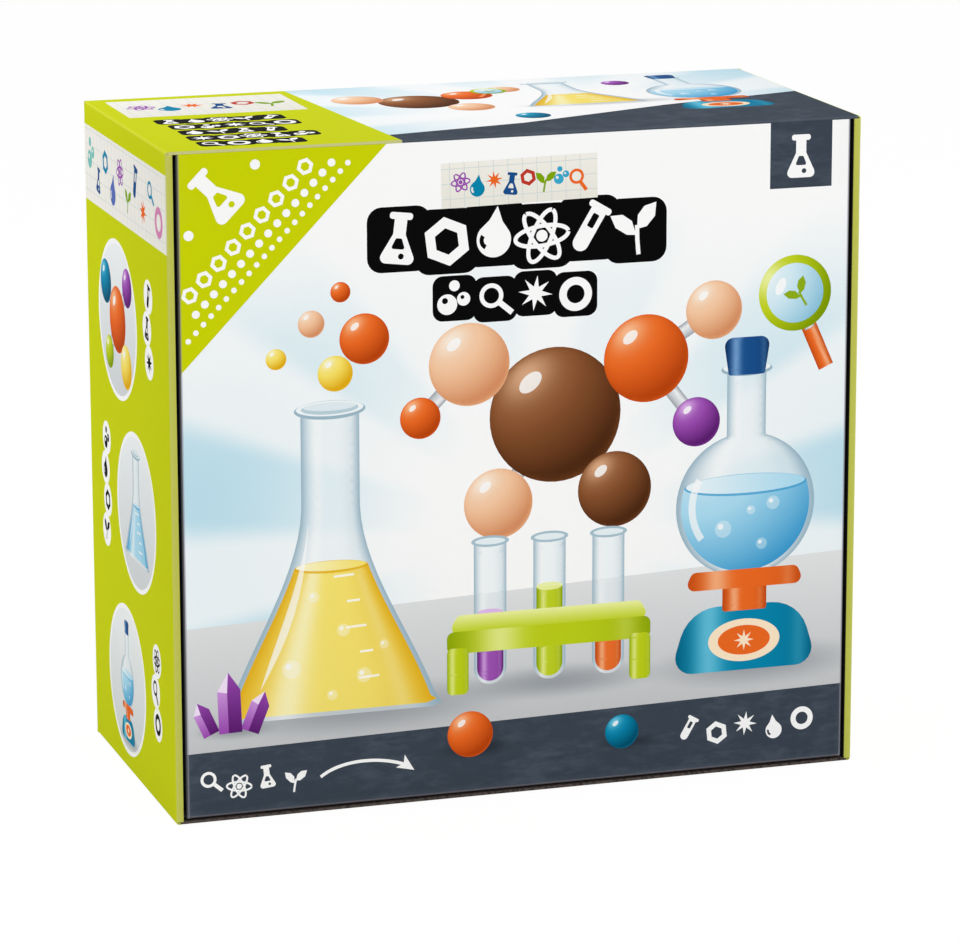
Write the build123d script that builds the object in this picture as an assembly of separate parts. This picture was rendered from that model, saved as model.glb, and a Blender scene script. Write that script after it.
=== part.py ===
"""A chemistry set in its retail carton, which stands upright with the lid at the front.

X runs to the right, Y to the back and Z up, in millimetres. The origin is the middle of the underside.
"""

from build123d import *
import math
import os

# Carton, of thin fluted board
width = 240.0
depth = 115.0
height = 225.0
board = 0.9
edge_radius = 0.6  # outside of a creased or rolled edge
bottom_setback = 0.4  # the bottom wall's cut edge lies this far behind the front
wall_slack = 0.3  # between an inner wall and the panels above and below it
corner_ear_height = 46.0
corner_ear_slope = 8.0
tab_length = 30.0
tab_slack = 0.2
tab_heights = (62.0, 163.0)

# Lid
lid_side_gap = 0.7
crease_gap = 0.05
flap_lift = 0.8  # between the bottom wall and the fold of the tuck flap
flap_depth = 18.0
flap_tilt = 2.5
flap_side_gap = 2.0
flap_corner = 9.0
lid_ear_depth = 34.0
lid_ear_foot_gap = 3.0
lid_ear_head_gap = 2.0
lid_ear_slope = 12.0

# Card tray
card = 1.0
tray_side_gap = 0.7
tray_front_gap = 1.4
tray_headroom = 0.5
scale_side_gap = 9.5  # beside the scale in its well
beaker_side_gap = 4.3
beaker_headroom = 18.8
rack_side_gap = 7.0
pan_front_gap = 2.0  # between the pan and the tray's front edge
thumb_radius = 11.0

# Scale
body_radius = 41.0
body_side_height = 14.0
body_depth = 44.0
body_edge = 4.0
shell_wall = 1.8
base_thickness = 3.0
stem_radius = 6.0
stem_clearance = 0.4
pan_radius = 36.0
pan_rim_height = 4.0
pan_rim_width = 1.6
pan_bevel = 3.0
pan_thickness = 2.0
pan_travel = 6.0
pan_stop_gap = 1.5
socket_radius = 8.0
socket_depth = 4.5
stem_gap = 2.0  # from the pressed stem to the pinion
axle_height = 20.0
axle_radius = 1.5
axle_overhang = 1.0
running_clearance = 0.05
gear_module = 0.8
pinion_teeth = 10
gear_width = 6.0
pressure_angle = 20.0
backlash = 0.4
rack_teeth = 6
rack_teeth_below = 2  # of them below the axle when nothing is on the pan
rack_back = 3.0
tooth_overlap = 0.2  # how far a tooth's root reaches into its wheel or bar
post_width = 10.0
post_thickness = 3.5
post_rise = 5.0
post_gap = 2.0  # from a post to the pinion
spring_wire = 0.8
spring_turns = 5
spring_radius = 3.1
spring_foot_radius = 4.0
spring_foot_thickness = 2.0
spring_foot_gap = 0.5  # from the foot to the pinion
spring_pin_radius = 1.8
spring_pin_gap = 1.0  # from the pin to the pressed foot
dial_radius = 27.0
dial_thickness = 1.0
dial_setback = 4.0
dial_foot = 7.0
dial_hole_gap = 1.5
window_radius = 23.0
window_foot = 1.5
standoff_radius = 1.5
standoff_reach = 20.0
standoff_drop = 4.0
pointer_length = 20.0
pointer_width = 5.0
pointer_thickness = 1.2
pointer_setback = 1.4
pointer_swing = 43.0
screw_boss_radius = 2.8
screw_radius = 1.3
screw_head_radius = 2.4
screw_head_height = 1.4
screw_length = 30.0
screw_places = ((31.0, 10.0), (22.2, 40.4))  # out from the middle and up from the base

# Beakers: foot radius, mouth radius, height
large_beaker = (29.0, 34.0, 88.0)
medium_beaker = (22.0, 27.0, 70.0)
small_beaker = (15.0, 20.0, 52.0)
beaker_wall = 1.4
beaker_floor = 2.0
beaker_rim = 1.2

# Funnel
funnel_radius = 34.0
funnel_cone = 34.0
funnel_rim_height = 2.5
funnel_neck = 6.2
funnel_tip = 4.6
funnel_spout = 34.0
funnel_wall = 1.3

# Tube rack
rack_length = 130.0
rack_depth = 44.0
rack_height = 38.0
rack_wall = 2.2
rack_pitch = 30.0
rack_places = 4
rack_edge = 5.0
tube_radius = 8.0
tube_wall = 1.2
tube_rim = 1.0
tube_hole_clearance = 0.5
stopper_depth = 10.0
stopper_head_radius = 10.5
stopper_head_height = 9.0
stopper_headroom = 16.5  # above a stopper, so that it can be pulled

# Pipette
pipette_radius = 3.5
pipette_wall = 0.8
pipette_tip_radius = 1.5
pipette_headroom = 3.5
pipette_taper = 18.0
bulb_radius = 9.0
bulb_length = 38.0
bulb_grip = 8.0
bulb_wall = 1.2

# Printed matter
booklet_thickness = 2.4
booklet_side_gap = 1.0
booklet_headroom = 12.0
leaf = 0.4
card_side_gap = 2.0
card_headroom = 24.0
card_count = 10

front = -depth / 2
inner_front = front + board
inner_back = depth / 2 - board
roof = height - board
roll_x = width / 2 - 3 * board
lid_x = roll_x - lid_side_gap
lid_foot = board + flap_lift
tray_x = lid_x - board - tray_side_gap
tray_front = inner_front + flap_depth + tray_front_gap
tray_top = roof - tray_headroom
tray_floor = board + card
shelf_low = tray_floor + large_beaker[2] + beaker_rim + beaker_headroom
shelf_top = shelf_low + card
well_back = inner_back - card
well_left = -tray_x + card
well_right = tray_x - card
well_roof = tray_top - card
kit_y = tray_front + pan_front_gap + pan_radius
tube_foot = shelf_top + rack_wall
tube_top = well_roof - stopper_headroom - stopper_head_height
pipette_top = well_roof - pipette_headroom - bulb_length + bulb_grip

scale_x = well_left + scale_side_gap + body_radius
beaker_left = scale_x + body_radius + scale_side_gap + card
beaker_reach = beaker_side_gap + large_beaker[1] + beaker_rim
beaker_x = beaker_left + beaker_reach
print_left = beaker_x + beaker_reach + card
rack_x = well_left + rack_side_gap + rack_length / 2
funnel_left = rack_x + rack_length / 2 + rack_side_gap + card
funnel_x = (funnel_left + well_right) / 2

nodes = {}


def slab(x, y, z):
    """A block between three pairs of limits."""
    size = [high - low for low, high in (x, y, z)]
    middle = [(low + high) / 2 for low, high in (x, y, z)]
    return Pos(*middle) * Box(*size)


def upright_edges(shape, x, y):
    """The edges along Z at one place in plan."""
    uprights = shape.edges().filter_by(Axis.Z)
    return uprights.filter_by(lambda e: abs(e.center().X - x) < 0.01 and abs(e.center().Y - y) < 0.01)


def both_sides(name, left_shape):
    """A left piece and its mirror image on the right."""
    nodes["left_" + name] = left_shape
    nodes["right_" + name] = mirror(left_shape, about=Plane.YZ)


def plate_yz(outline, x_low, thickness):
    """A plate across X from its outline in Y and Z."""
    face = make_face(Polyline(*[(x_low, y, z) for y, z in outline], close=True))
    return extrude(face, amount=thickness, dir=(1, 0, 0))


def turned(outline):
    """A solid of revolution about Z from its outline in radius and height."""
    return revolve(make_face(Polyline(*[(r, 0, z) for r, z in outline], close=True)), Axis.Z)


# ---- Carton ----


def carton_panels():
    """Back, top and bottom panels, which run from one outer wall to the other."""
    back = slab((-width / 2, width / 2), (inner_back, depth / 2), (0, height))
    back = fillet(upright_edges(back, -width / 2, depth / 2), edge_radius)
    back = fillet(upright_edges(back, width / 2, depth / 2), edge_radius)
    for middle in tab_heights:
        for sign in (-1, 1):
            ends = sorted((sign * (roll_x - tab_slack / 2), sign * (roll_x + board + tab_slack / 2)))
            half = tab_length / 2 + tab_slack
            back -= slab(ends, (inner_back, depth / 2), (middle - half, middle + half))
    nodes["back_panel"] = back
    between = (-width / 2 + board, width / 2 - board)
    nodes["top_panel"] = slab(between, (front, inner_back), (roof, height))
    nodes["bottom_panel"] = slab(between, (front + bottom_setback, inner_back), (0, board))


def side_walls():
    """Each side wall is folded back on itself: outer wall, rolled front edge and inner wall."""
    left = -width / 2
    outer = slab((left, left + board), (front, inner_back), (0, height))
    outer += slab((left + board, left + 3 * board), (front, inner_front), (board, roof))
    outer = fillet(upright_edges(outer, left, front), edge_radius)
    outer = fillet(upright_edges(outer, left + 3 * board, front), edge_radius)
    both_sides("outer_wall", outer)
    inner = slab(
        (left + 2 * board, left + 3 * board),
        (inner_front, inner_back),
        (board + wall_slack, roof - wall_slack),
    )
    for middle in tab_heights:
        ends = (middle - tab_length / 2, middle + tab_length / 2)
        inner += slab((left + 2 * board, left + 3 * board), (inner_back, depth / 2), ends)
    both_sides("inner_wall", inner)


def corner_ears():
    """Ears of the top and bottom panels, trapped between outer and inner walls."""
    y_front = inner_front + wall_slack
    x_low = -width / 2 + board
    for name, root, grows in (("top", roof, -1), ("bottom", board, 1)):
        shoulder = root + grows * (corner_ear_height - corner_ear_slope)
        end = root + grows * corner_ear_height
        outline = (
            (y_front, root),
            (inner_back, root),
            (inner_back, shoulder),
            (inner_back - corner_ear_slope, end),
            (y_front + corner_ear_slope, end),
            (y_front, shoulder),
        )
        both_sides(name + "_corner_ear", plate_yz(outline, x_low, board))


# ---- Lid ----


def lid():
    """The front face, creased to the top panel, with an ear along each side."""
    panel = slab((-lid_x, lid_x), (front, inner_front), (lid_foot, roof - crease_gap))
    panel = fillet(upright_edges(panel, -lid_x, front), edge_radius)
    nodes["lid_panel"] = fillet(upright_edges(panel, lid_x, front), edge_radius)
    low = lid_foot + lid_ear_foot_gap
    high = roof - lid_ear_head_gap
    end = inner_front + lid_ear_depth
    outline = (
        (inner_front, low),
        (end - lid_ear_slope, low + lid_ear_slope / 3),
        (end, low + lid_ear_slope * 4 / 3),
        (end, high - lid_ear_slope * 4 / 3),
        (end - lid_ear_slope, high - lid_ear_slope / 3),
        (inner_front, high),
    )
    both_sides("lid_ear", plate_yz(outline, -lid_x, board))


def tuck_flap():
    """The flap below the lid, which slides in above the bottom wall and tilts up a little."""
    flap_x = lid_x - board - flap_side_gap
    start = inner_front + crease_gap
    flap = slab((-flap_x, flap_x), (start, start + flap_depth), (lid_foot, lid_foot + board))
    for x in (-flap_x, flap_x):
        flap = fillet(upright_edges(flap, x, start + flap_depth), flap_corner)
    fold = Axis((0, inner_front, lid_foot), (1, 0, 0))
    nodes["tuck_flap"] = flap.rotate(fold, flap_tilt)


# ---- Card tray ----


def divider(x_low, z_low, z_high):
    """An upright partition with a thumb notch in its front edge."""
    plate = slab((x_low, x_low + card), (tray_front, well_back), (z_low, z_high))
    notch = Cylinder(thumb_radius, 4 * card)
    return plate - Pos(x_low, tray_front, (z_low + z_high) / 2) * Rot(0, 90, 0) * notch


def tray():
    """An open-fronted tray with a shelf and upright dividers, of plain card."""
    across = (-tray_x, tray_x)
    along = (tray_front, inner_back)
    nodes["tray_floor"] = slab(across, along, (board, tray_floor))
    nodes["tray_roof"] = slab(across, along, (well_roof, tray_top))
    upright = (tray_floor, well_roof)
    both_sides("tray_side", slab((-tray_x, well_left), along, upright))
    nodes["tray_back"] = slab((well_left, well_right), (well_back, inner_back), upright)
    nodes["tray_shelf"] = slab((well_left, well_right), (tray_front, well_back), (shelf_low, shelf_top))
    nodes["scale_divider"] = divider(beaker_left - card, tray_floor, shelf_low)
    nodes["beaker_divider"] = divider(print_left - card, tray_floor, shelf_low)
    nodes["funnel_divider"] = divider(funnel_left - card, shelf_top, well_roof)


# ---- Scale ----

base_z = tray_floor
axle_z = base_z + axle_height
body_top = base_z + body_side_height + body_radius
body_front = kit_y - body_depth / 2
body_rear = kit_y + body_depth / 2
pitch_radius = gear_module * pinion_teeth / 2
tooth_pitch = math.pi * gear_module
addendum = 0.6 * gear_module
dedendum = 0.9 * gear_module
spring_x = scale_x + pitch_radius + dedendum + rack_back
stem_foot = axle_z + pitch_radius + addendum + pan_travel + stem_gap
socket_low = body_top + pan_travel + pan_stop_gap
stem_top = socket_low + socket_depth
foot_top = axle_z - pitch_radius - addendum - spring_foot_gap
foot_low = foot_top - spring_foot_thickness
seat_z = base_z + base_thickness
dial_front = body_front + shell_wall + dial_setback
screw_tip = body_rear - screw_head_height - screw_length


def dome(shrink, y_low, y_high, z_low):
    """The scale's body, flat at the front and back with an arched top, made smaller all round by a wall."""
    radius = body_radius - shrink
    centre_z = base_z + body_side_height
    arch = Pos(scale_x, 0, centre_z) * Rot(90, 0, 0) * Cylinder(radius, y_high - y_low)
    arch = Pos(0, (y_low + y_high) / 2, 0) * arch
    arch &= slab((scale_x - radius, scale_x + radius), (y_low, y_high), (centre_z, centre_z + radius))
    return arch + slab((scale_x - radius, scale_x + radius), (y_low, y_high), (z_low, centre_z))


def half_disc(centre_z, radius, foot, y_low, thickness):
    """A disc across Y, cut flat a little below its centre."""
    disc = Pos(scale_x, y_low + thickness / 2, centre_z) * Rot(90, 0, 0) * Cylinder(radius, thickness)
    reach = (scale_x - radius, scale_x + radius)
    return disc & slab(reach, (y_low, y_low + thickness), (centre_z - foot, centre_z + radius))


def rod_y(x, z, radius, y_low, y_high):
    """A round bar along Y."""
    return Pos(x, (y_low + y_high) / 2, z) * Rot(90, 0, 0) * Cylinder(radius, y_high - y_low)


def scale_shells():
    """Front and back halves of the body, held by four screws from behind."""
    solid = dome(0, body_front, body_rear, seat_z)
    rims = solid.edges().filter_by(lambda e: e.center().Z > seat_z + 0.01)
    faces = rims.filter_by(lambda e: min(abs(e.center().Y - body_front), abs(e.center().Y - body_rear)) < 0.01)
    solid = fillet(faces, body_edge)
    solid -= dome(shell_wall, body_front + shell_wall, body_rear - shell_wall, seat_z)
    solid -= Pos(scale_x, kit_y, body_top) * Cylinder(stem_radius + stem_clearance, 4 * shell_wall)
    reach = (scale_x - 2 * body_radius, scale_x + 2 * body_radius)
    rise = (base_z, body_top + body_radius)
    shell = solid & slab(reach, (body_front, kit_y), rise)
    shell -= half_disc(axle_z, window_radius, window_foot, body_front - 1, shell_wall + 2)
    rear = solid & slab(reach, (kit_y, body_rear), rise)
    for x_out, up in screw_places:
        for sign in (-1, 1):
            x, z = scale_x + sign * x_out, base_z + up
            shell += rod_y(x, z, screw_boss_radius, body_front + shell_wall, kit_y)
            rear += rod_y(x, z, screw_boss_radius, kit_y, body_rear - shell_wall)
            shell -= rod_y(x, z, screw_radius, screw_tip, kit_y)
            rear -= rod_y(x, z, screw_radius + running_clearance, kit_y, body_rear)
            rear -= rod_y(x, z, screw_head_radius + running_clearance, body_rear - screw_head_height, body_rear)
    upper = (dial_radius + window_radius) / 2
    for x_out, up in ((-standoff_reach, -standoff_drop), (standoff_reach, -standoff_drop), (0.0, upper)):
        shell += rod_y(scale_x + x_out, axle_z + up, standoff_radius, body_front + shell_wall, dial_front)
    nodes["scale_front_shell"] = shell
    nodes["scale_back_shell"] = rear


def scale_screws():
    """Four countersunk screws, heads flush with the back."""
    screws = []
    for x_out, up in screw_places:
        for sign in (-1, 1):
            x, z = scale_x + sign * x_out, base_z + up
            shank = rod_y(x, z, screw_radius, screw_tip, body_rear - screw_head_height)
            screws.append(shank + rod_y(x, z, screw_head_radius, body_rear - screw_head_height, body_rear))
    nodes["scale_screws"] = Compound(children=screws)


def scale_base():
    """The floor of the scale, with two posts that carry the pointer's axle and a pin for the spring."""
    half = body_depth / 2
    plate = slab((scale_x - body_radius, scale_x + body_radius), (kit_y - half, kit_y + half), (base_z, seat_z))
    for x in (scale_x - body_radius, scale_x + body_radius):
        for y in (kit_y - half, kit_y + half):
            plate = fillet(upright_edges(plate, x, y), body_edge)
    for y_low in (kit_y - gear_width / 2 - post_gap - post_thickness, kit_y + gear_width / 2 + post_gap):
        post = slab(
            (scale_x - post_width / 2, scale_x + post_width / 2),
            (y_low, y_low + post_thickness),
            (seat_z, axle_z + post_rise),
        )
        plate += post - rod_y(scale_x, axle_z, axle_radius + running_clearance, y_low - 1, y_low + post_thickness + 1)
    pin_height = foot_low - pan_travel - seat_z - spring_pin_gap
    nodes["scale_base"] = plate + Pos(spring_x, kit_y, seat_z + pin_height / 2) * Cylinder(spring_pin_radius, pin_height)


def involute_tooth():
    """One pinion tooth, pointing along +X, with its flanks as points on the involute."""
    base_radius = pitch_radius * math.cos(math.radians(pressure_angle))
    tip_radius = pitch_radius + addendum
    root_radius = pitch_radius - dedendum
    roll_pitch = math.tan(math.radians(pressure_angle)) - math.radians(pressure_angle)
    half_angle = (tooth_pitch / 2 - backlash / 2) / 2 / pitch_radius
    flank = []
    for step in range(7):
        radius = base_radius + (tip_radius - base_radius) * step / 6
        angle = math.acos(base_radius / radius)
        flank.append((radius, half_angle + roll_pitch - (math.tan(angle) - angle)))
    flank.insert(0, (root_radius - tooth_overlap, flank[0][1]))
    upper = [(r * math.cos(a), r * math.sin(a)) for r, a in flank]
    lower = [(x, -z) for x, z in reversed(upper)]
    face = make_face(Polyline(*[(x, 0, z) for x, z in upper + lower], close=True))
    return extrude(face, amount=gear_width / 2, dir=(0, 1, 0), both=True)


def pointer_parts():
    """Pinion, axle and pointer, which turn as one."""
    wheel = Rot(90, 0, 0) * Cylinder(pitch_radius - dedendum, gear_width)
    tooth = involute_tooth()
    for index in range(pinion_teeth):
        wheel += Rot(0, 360.0 * index / pinion_teeth, 0) * tooth
    wheel -= Rot(90, 0, 0) * Cylinder(axle_radius, gear_width)
    nodes["pinion"] = Pos(scale_x, kit_y, axle_z) * wheel
    pointer_front = body_front + shell_wall + pointer_setback
    axle_end = kit_y + gear_width / 2 + post_gap + post_thickness + axle_overhang
    nodes["pointer_axle"] = rod_y(scale_x, axle_z, axle_radius, pointer_front, axle_end)
    shaft_end = pointer_length - pointer_width
    outline = (
        (-pointer_width / 3, 0),
        (-pointer_width / 3, shaft_end),
        (-pointer_width * 2 / 3, shaft_end),
        (0, pointer_length),
        (pointer_width * 2 / 3, shaft_end),
        (pointer_width / 3, shaft_end),
        (pointer_width / 3, 0),
    )
    arrow = extrude(
        make_face(Polyline(*[(x, 0, z) for x, z in outline], close=True)), amount=pointer_thickness, dir=(0, 1, 0)
    )
    arrow += Pos(0, pointer_thickness / 2, 0) * Rot(90, 0, 0) * Cylinder(pointer_width * 0.7, pointer_thickness)
    arrow -= Pos(0, pointer_thickness / 2, 0) * Rot(90, 0, 0) * Cylinder(axle_radius, pointer_thickness)
    nodes["pointer"] = Pos(scale_x, pointer_front, axle_z) * Rot(0, -pointer_swing, 0) * arrow


def dial_plate():
    """The scale's face behind the window."""
    plate = half_disc(axle_z, dial_radius, dial_foot, dial_front, dial_thickness)
    hole = rod_y(scale_x, axle_z, axle_radius + dial_hole_gap, dial_front, dial_front + dial_thickness)
    nodes["dial_plate"] = plate - hole


def stem_rack():
    """The pan's stem, with a toothed bar beside the pinion and a foot that stands on the spring."""
    stem = Pos(scale_x, kit_y, (stem_foot + stem_top) / 2) * Cylinder(stem_radius, stem_top - stem_foot)
    root_x = scale_x + pitch_radius + dedendum
    thick = (kit_y - gear_width / 2, kit_y + gear_width / 2)
    bar_top = stem_foot + spring_foot_thickness * 2
    bar = slab((root_x, root_x + rack_back), thick, (foot_low, bar_top))
    bar += slab((scale_x, root_x + rack_back), thick, (stem_foot, bar_top))
    slope = math.tan(math.radians(pressure_angle))
    half = (tooth_pitch - backlash) / 4
    tip_x = root_x - dedendum - addendum
    for index in range(rack_teeth):
        z = axle_z + (index - rack_teeth_below + 0.5) * tooth_pitch
        outline = (
            (root_x + tooth_overlap, z - half - slope * dedendum),
            (tip_x, z - half + slope * addendum),
            (tip_x, z + half - slope * addendum),
            (root_x + tooth_overlap, z + half + slope * dedendum),
        )
        face = make_face(Polyline(*[(x, kit_y, z_) for x, z_ in outline], close=True))
        bar += extrude(face, amount=gear_width / 2, dir=(0, 1, 0), both=True)
    foot = Cylinder(spring_foot_radius, spring_foot_thickness)
    nodes["stem_rack"] = stem + bar + Pos(spring_x, kit_y, (foot_low + foot_top) / 2) * foot


def press_spring():
    """The coil spring under the stem's foot."""
    rise = foot_low - seat_z - spring_wire
    coil = Helix(pitch=rise / spring_turns, height=rise, radius=spring_radius)
    section = Plane(origin=coil @ 0, z_dir=coil % 0) * Circle(spring_wire / 2)
    nodes["press_spring"] = Pos(spring_x, kit_y, seat_z + spring_wire / 2) * sweep(section, path=coil, is_frenet=True)


def weighing_pan():
    """A shallow dish with a socket for the stem."""
    low = stem_top
    pan = turned(
        (
            (0, low),
            (stem_radius, low),
            (stem_radius, socket_low),
            (socket_radius, socket_low),
            (socket_radius, low),
            (pan_radius - pan_bevel, low),
            (pan_radius, low + pan_thickness),
            (pan_radius, low + pan_rim_height),
            (pan_radius - pan_rim_width, low + pan_rim_height),
            (pan_radius - pan_rim_width - pan_bevel, low + pan_thickness),
            (0, low + pan_thickness),
        )
    )
    nodes["weighing_pan"] = Pos(scale_x, kit_y, 0) * pan


# ---- Glassware of clear plastic, and the rack ----


def beaker(size, floor_z):
    """A tapered beaker with a turned-out rim."""
    foot, mouth, tall = size
    outline = (
        (0, 0),
        (foot, 0),
        (mouth, tall),
        (mouth + beaker_rim, tall),
        (mouth + beaker_rim, tall + beaker_rim),
        (mouth - beaker_wall, tall + beaker_rim),
        (foot - beaker_wall, beaker_floor),
        (0, beaker_floor),
    )
    return Pos(beaker_x, kit_y, floor_z) * turned(outline)


def beakers():
    """Three beakers, one in the other."""
    nodes["large_beaker"] = beaker(large_beaker, tray_floor)
    nodes["medium_beaker"] = beaker(medium_beaker, tray_floor + beaker_floor)
    nodes["small_beaker"] = beaker(small_beaker, tray_floor + 2 * beaker_floor)


def funnel():
    """A funnel that stands on its mouth, with the spout up."""
    neck_z = funnel_cone
    tip_z = funnel_cone + funnel_spout
    outline = (
        (funnel_radius - funnel_wall, 0),
        (funnel_radius, 0),
        (funnel_radius, funnel_rim_height),
        (funnel_neck, neck_z),
        (funnel_tip, tip_z),
        (funnel_tip - funnel_wall, tip_z),
        (funnel_neck - funnel_wall, neck_z - funnel_wall),
        (funnel_radius - funnel_wall, funnel_rim_height - funnel_wall / 2),
    )
    nodes["funnel"] = Pos(funnel_x, kit_y, shelf_top) * turned(outline)


place_x = [rack_x + (index - (rack_places - 1) / 2) * rack_pitch for index in range(rack_places)]


def tube_rack():
    """A rack of two shelves between end walls, with a row of holes through the upper one."""
    half_x, half_y = rack_length / 2, rack_depth / 2
    low, high = shelf_top, shelf_top + rack_height
    rack = slab((rack_x - half_x, rack_x + half_x), (kit_y - half_y, kit_y + half_y), (low, high))
    rack = fillet(rack.edges().filter_by(Axis.Y), rack_edge)
    hollow = slab(
        (rack_x - half_x + rack_wall, rack_x + half_x - rack_wall),
        (kit_y - half_y, kit_y + half_y),
        (low + rack_wall, high - rack_wall),
    )
    rack -= fillet(hollow.edges().filter_by(Axis.Y), rack_edge - rack_wall)
    for x in place_x:
        rack -= Pos(x, kit_y, high) * Cylinder(tube_radius + tube_hole_clearance, 4 * rack_wall)
    nodes["tube_rack"] = rack


def test_tube(x):
    """A round-bottomed tube with a lip."""
    outer = tube_radius
    bore = tube_radius - tube_wall
    low, top = tube_foot, tube_top
    body = Pos(0, 0, (low + outer + top) / 2) * Cylinder(outer, top - low - outer) + Pos(0, 0, low + outer) * Sphere(outer)
    body += Pos(0, 0, top - tube_rim) * Cylinder(outer + tube_rim, 2 * tube_rim)
    body -= Pos(0, 0, (low + outer + top) / 2) * Cylinder(bore, top - low - outer)
    body -= Pos(0, 0, low + outer) * Sphere(bore)
    return Pos(x, kit_y, 0) * body


def stopper(x):
    """A push-in stopper with a wide, waisted head."""
    rim = tube_top
    plug = tube_radius - tube_wall - running_clearance
    head, waist = stopper_head_radius, stopper_head_radius - 2.5
    outline = (
        (0, rim - stopper_depth),
        (plug - 1.0, rim - stopper_depth),
        (plug, rim - stopper_depth + 2.0),
        (plug, rim),
        (head, rim),
        (head, rim + 1.8),
        (waist, rim + 3.4),
        (waist, rim + stopper_head_height - 3.0),
        (head - 1.0, rim + stopper_head_height - 1.4),
        (head - 2.0, rim + stopper_head_height),
        (0, rim + stopper_head_height),
    )
    return Pos(x, kit_y, 0) * turned(outline)


def pipette():
    """A drawn-out tube with a squeeze bulb on its upper end, standing in the rack."""
    low, top = tube_foot, pipette_top
    bore, tip = pipette_radius - pipette_wall, pipette_tip_radius
    tube = turned(
        (
            (tip - pipette_wall, low),
            (tip, low),
            (pipette_radius, low + pipette_taper),
            (pipette_radius, top),
            (bore, top),
            (bore, low + pipette_taper),
        )
    )
    grip = top - bulb_grip
    collar = pipette_radius + 2.0
    bulb = turned(
        (
            (pipette_radius, grip),
            (collar, grip),
            (collar, top),
            (bulb_radius, top + bulb_radius * 0.7),
            (bulb_radius, grip + bulb_length - bulb_radius * 0.6),
            (bulb_radius * 0.55, grip + bulb_length),
            (0, grip + bulb_length),
            (0, grip + bulb_length - bulb_wall),
            (bulb_radius * 0.5, grip + bulb_length - bulb_wall),
            (bulb_radius - bulb_wall, grip + bulb_length - bulb_radius * 0.6 - bulb_wall),
            (bulb_radius - bulb_wall, top + bulb_radius * 0.7),
            (pipette_radius, top),
        )
    )
    nodes["pipette_tube"] = Pos(place_x[2], kit_y, 0) * tube
    nodes["pipette_bulb"] = Pos(place_x[2], kit_y, 0) * bulb


# ---- Printed matter ----


def booklet_and_cards():
    """An instruction booklet against the back of its well, with the experiment cards in front of it."""
    reach = (print_left + booklet_side_gap, well_right - booklet_side_gap)
    rise = (tray_floor, shelf_low - booklet_headroom)
    nodes["instruction_booklet"] = slab(reach, (well_back - booklet_thickness, well_back), rise)
    reach = (print_left + card_side_gap, well_right - card_side_gap)
    rise = (tray_floor, shelf_low - card_headroom)
    cards = []
    for index in range(card_count):
        y_high = well_back - booklet_thickness - index * leaf
        cards.append(slab(reach, (y_high - leaf, y_high), rise))
    nodes["experiment_cards"] = Compound(children=cards)


carton_panels()
side_walls()
corner_ears()
lid()
tuck_flap()
tray()
scale_shells()
scale_screws()
scale_base()
pointer_parts()
dial_plate()
stem_rack()
press_spring()
weighing_pan()
beakers()
funnel()
tube_rack()
nodes["navy_test_tube"] = test_tube(place_x[0])
nodes["orange_test_tube"] = test_tube(place_x[1])
nodes["navy_stopper"] = stopper(place_x[0])
nodes["orange_stopper"] = stopper(place_x[1])
pipette()
booklet_and_cards()

os.makedirs("parts", exist_ok=True)
for name, shape in nodes.items():
    export_step(shape, f"parts/{name}.step")
print(len(nodes), "nodes")
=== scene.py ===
"""A chemistry set in its upright carton: the finish of every piece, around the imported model.

Sizes are millimetres until a mesh is made, which is in metres. A printed face has its own u to the right
and v upwards, as someone reads it from outside.
"""

import bmesh
import bpy
import math
from mathutils import Matrix, Vector, geometry


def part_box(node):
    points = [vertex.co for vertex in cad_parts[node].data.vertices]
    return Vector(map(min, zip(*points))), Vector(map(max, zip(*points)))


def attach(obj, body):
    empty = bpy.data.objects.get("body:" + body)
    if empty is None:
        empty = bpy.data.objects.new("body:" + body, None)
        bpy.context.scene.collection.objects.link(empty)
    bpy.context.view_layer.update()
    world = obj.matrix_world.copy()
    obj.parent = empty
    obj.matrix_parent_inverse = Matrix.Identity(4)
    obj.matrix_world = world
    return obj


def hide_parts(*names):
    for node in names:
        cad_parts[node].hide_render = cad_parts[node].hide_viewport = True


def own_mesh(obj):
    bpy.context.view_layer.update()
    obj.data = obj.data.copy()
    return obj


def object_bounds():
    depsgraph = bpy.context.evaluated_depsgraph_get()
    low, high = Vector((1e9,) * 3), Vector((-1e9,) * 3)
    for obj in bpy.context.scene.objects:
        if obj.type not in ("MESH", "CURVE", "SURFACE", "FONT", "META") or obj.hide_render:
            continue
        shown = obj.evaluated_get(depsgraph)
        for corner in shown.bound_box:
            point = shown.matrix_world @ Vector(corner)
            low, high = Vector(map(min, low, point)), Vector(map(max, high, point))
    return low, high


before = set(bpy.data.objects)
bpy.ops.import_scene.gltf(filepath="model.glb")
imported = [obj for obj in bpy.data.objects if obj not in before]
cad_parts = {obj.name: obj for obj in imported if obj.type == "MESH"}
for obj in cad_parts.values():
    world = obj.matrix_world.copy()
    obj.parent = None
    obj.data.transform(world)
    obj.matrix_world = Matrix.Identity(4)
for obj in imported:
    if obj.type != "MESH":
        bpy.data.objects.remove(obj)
cad_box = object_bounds()
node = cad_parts

# ---- View ----
# The carton is seen from its left and a little above, through a long lens. The lens and its place were
# fitted to seven corners of the carton in the photograph.
MM = 0.001
view_turn = math.radians(-17.716)
view_rise = math.radians(13.312)
view_roll = math.radians(-0.115)
view_distance = 1602.7
view_focal = 174.56
view_right = 3.8  # how far the line of sight passes beside the carton's middle
view_down = 13.66
lowest, highest = (Vector(corner) for corner in cad_box)
right = Vector((math.cos(view_turn), math.sin(view_turn), 0))
back = Vector((
    math.sin(view_turn) * math.cos(view_rise),
    -math.cos(view_turn) * math.cos(view_rise),
    math.sin(view_rise),
))
up = back.cross(right)
lens = bpy.data.cameras.new("view")
lens.lens = view_focal
lens.sensor_width = 36
lens.clip_end = 50
camera = bpy.data.objects.new("view", lens)
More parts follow.
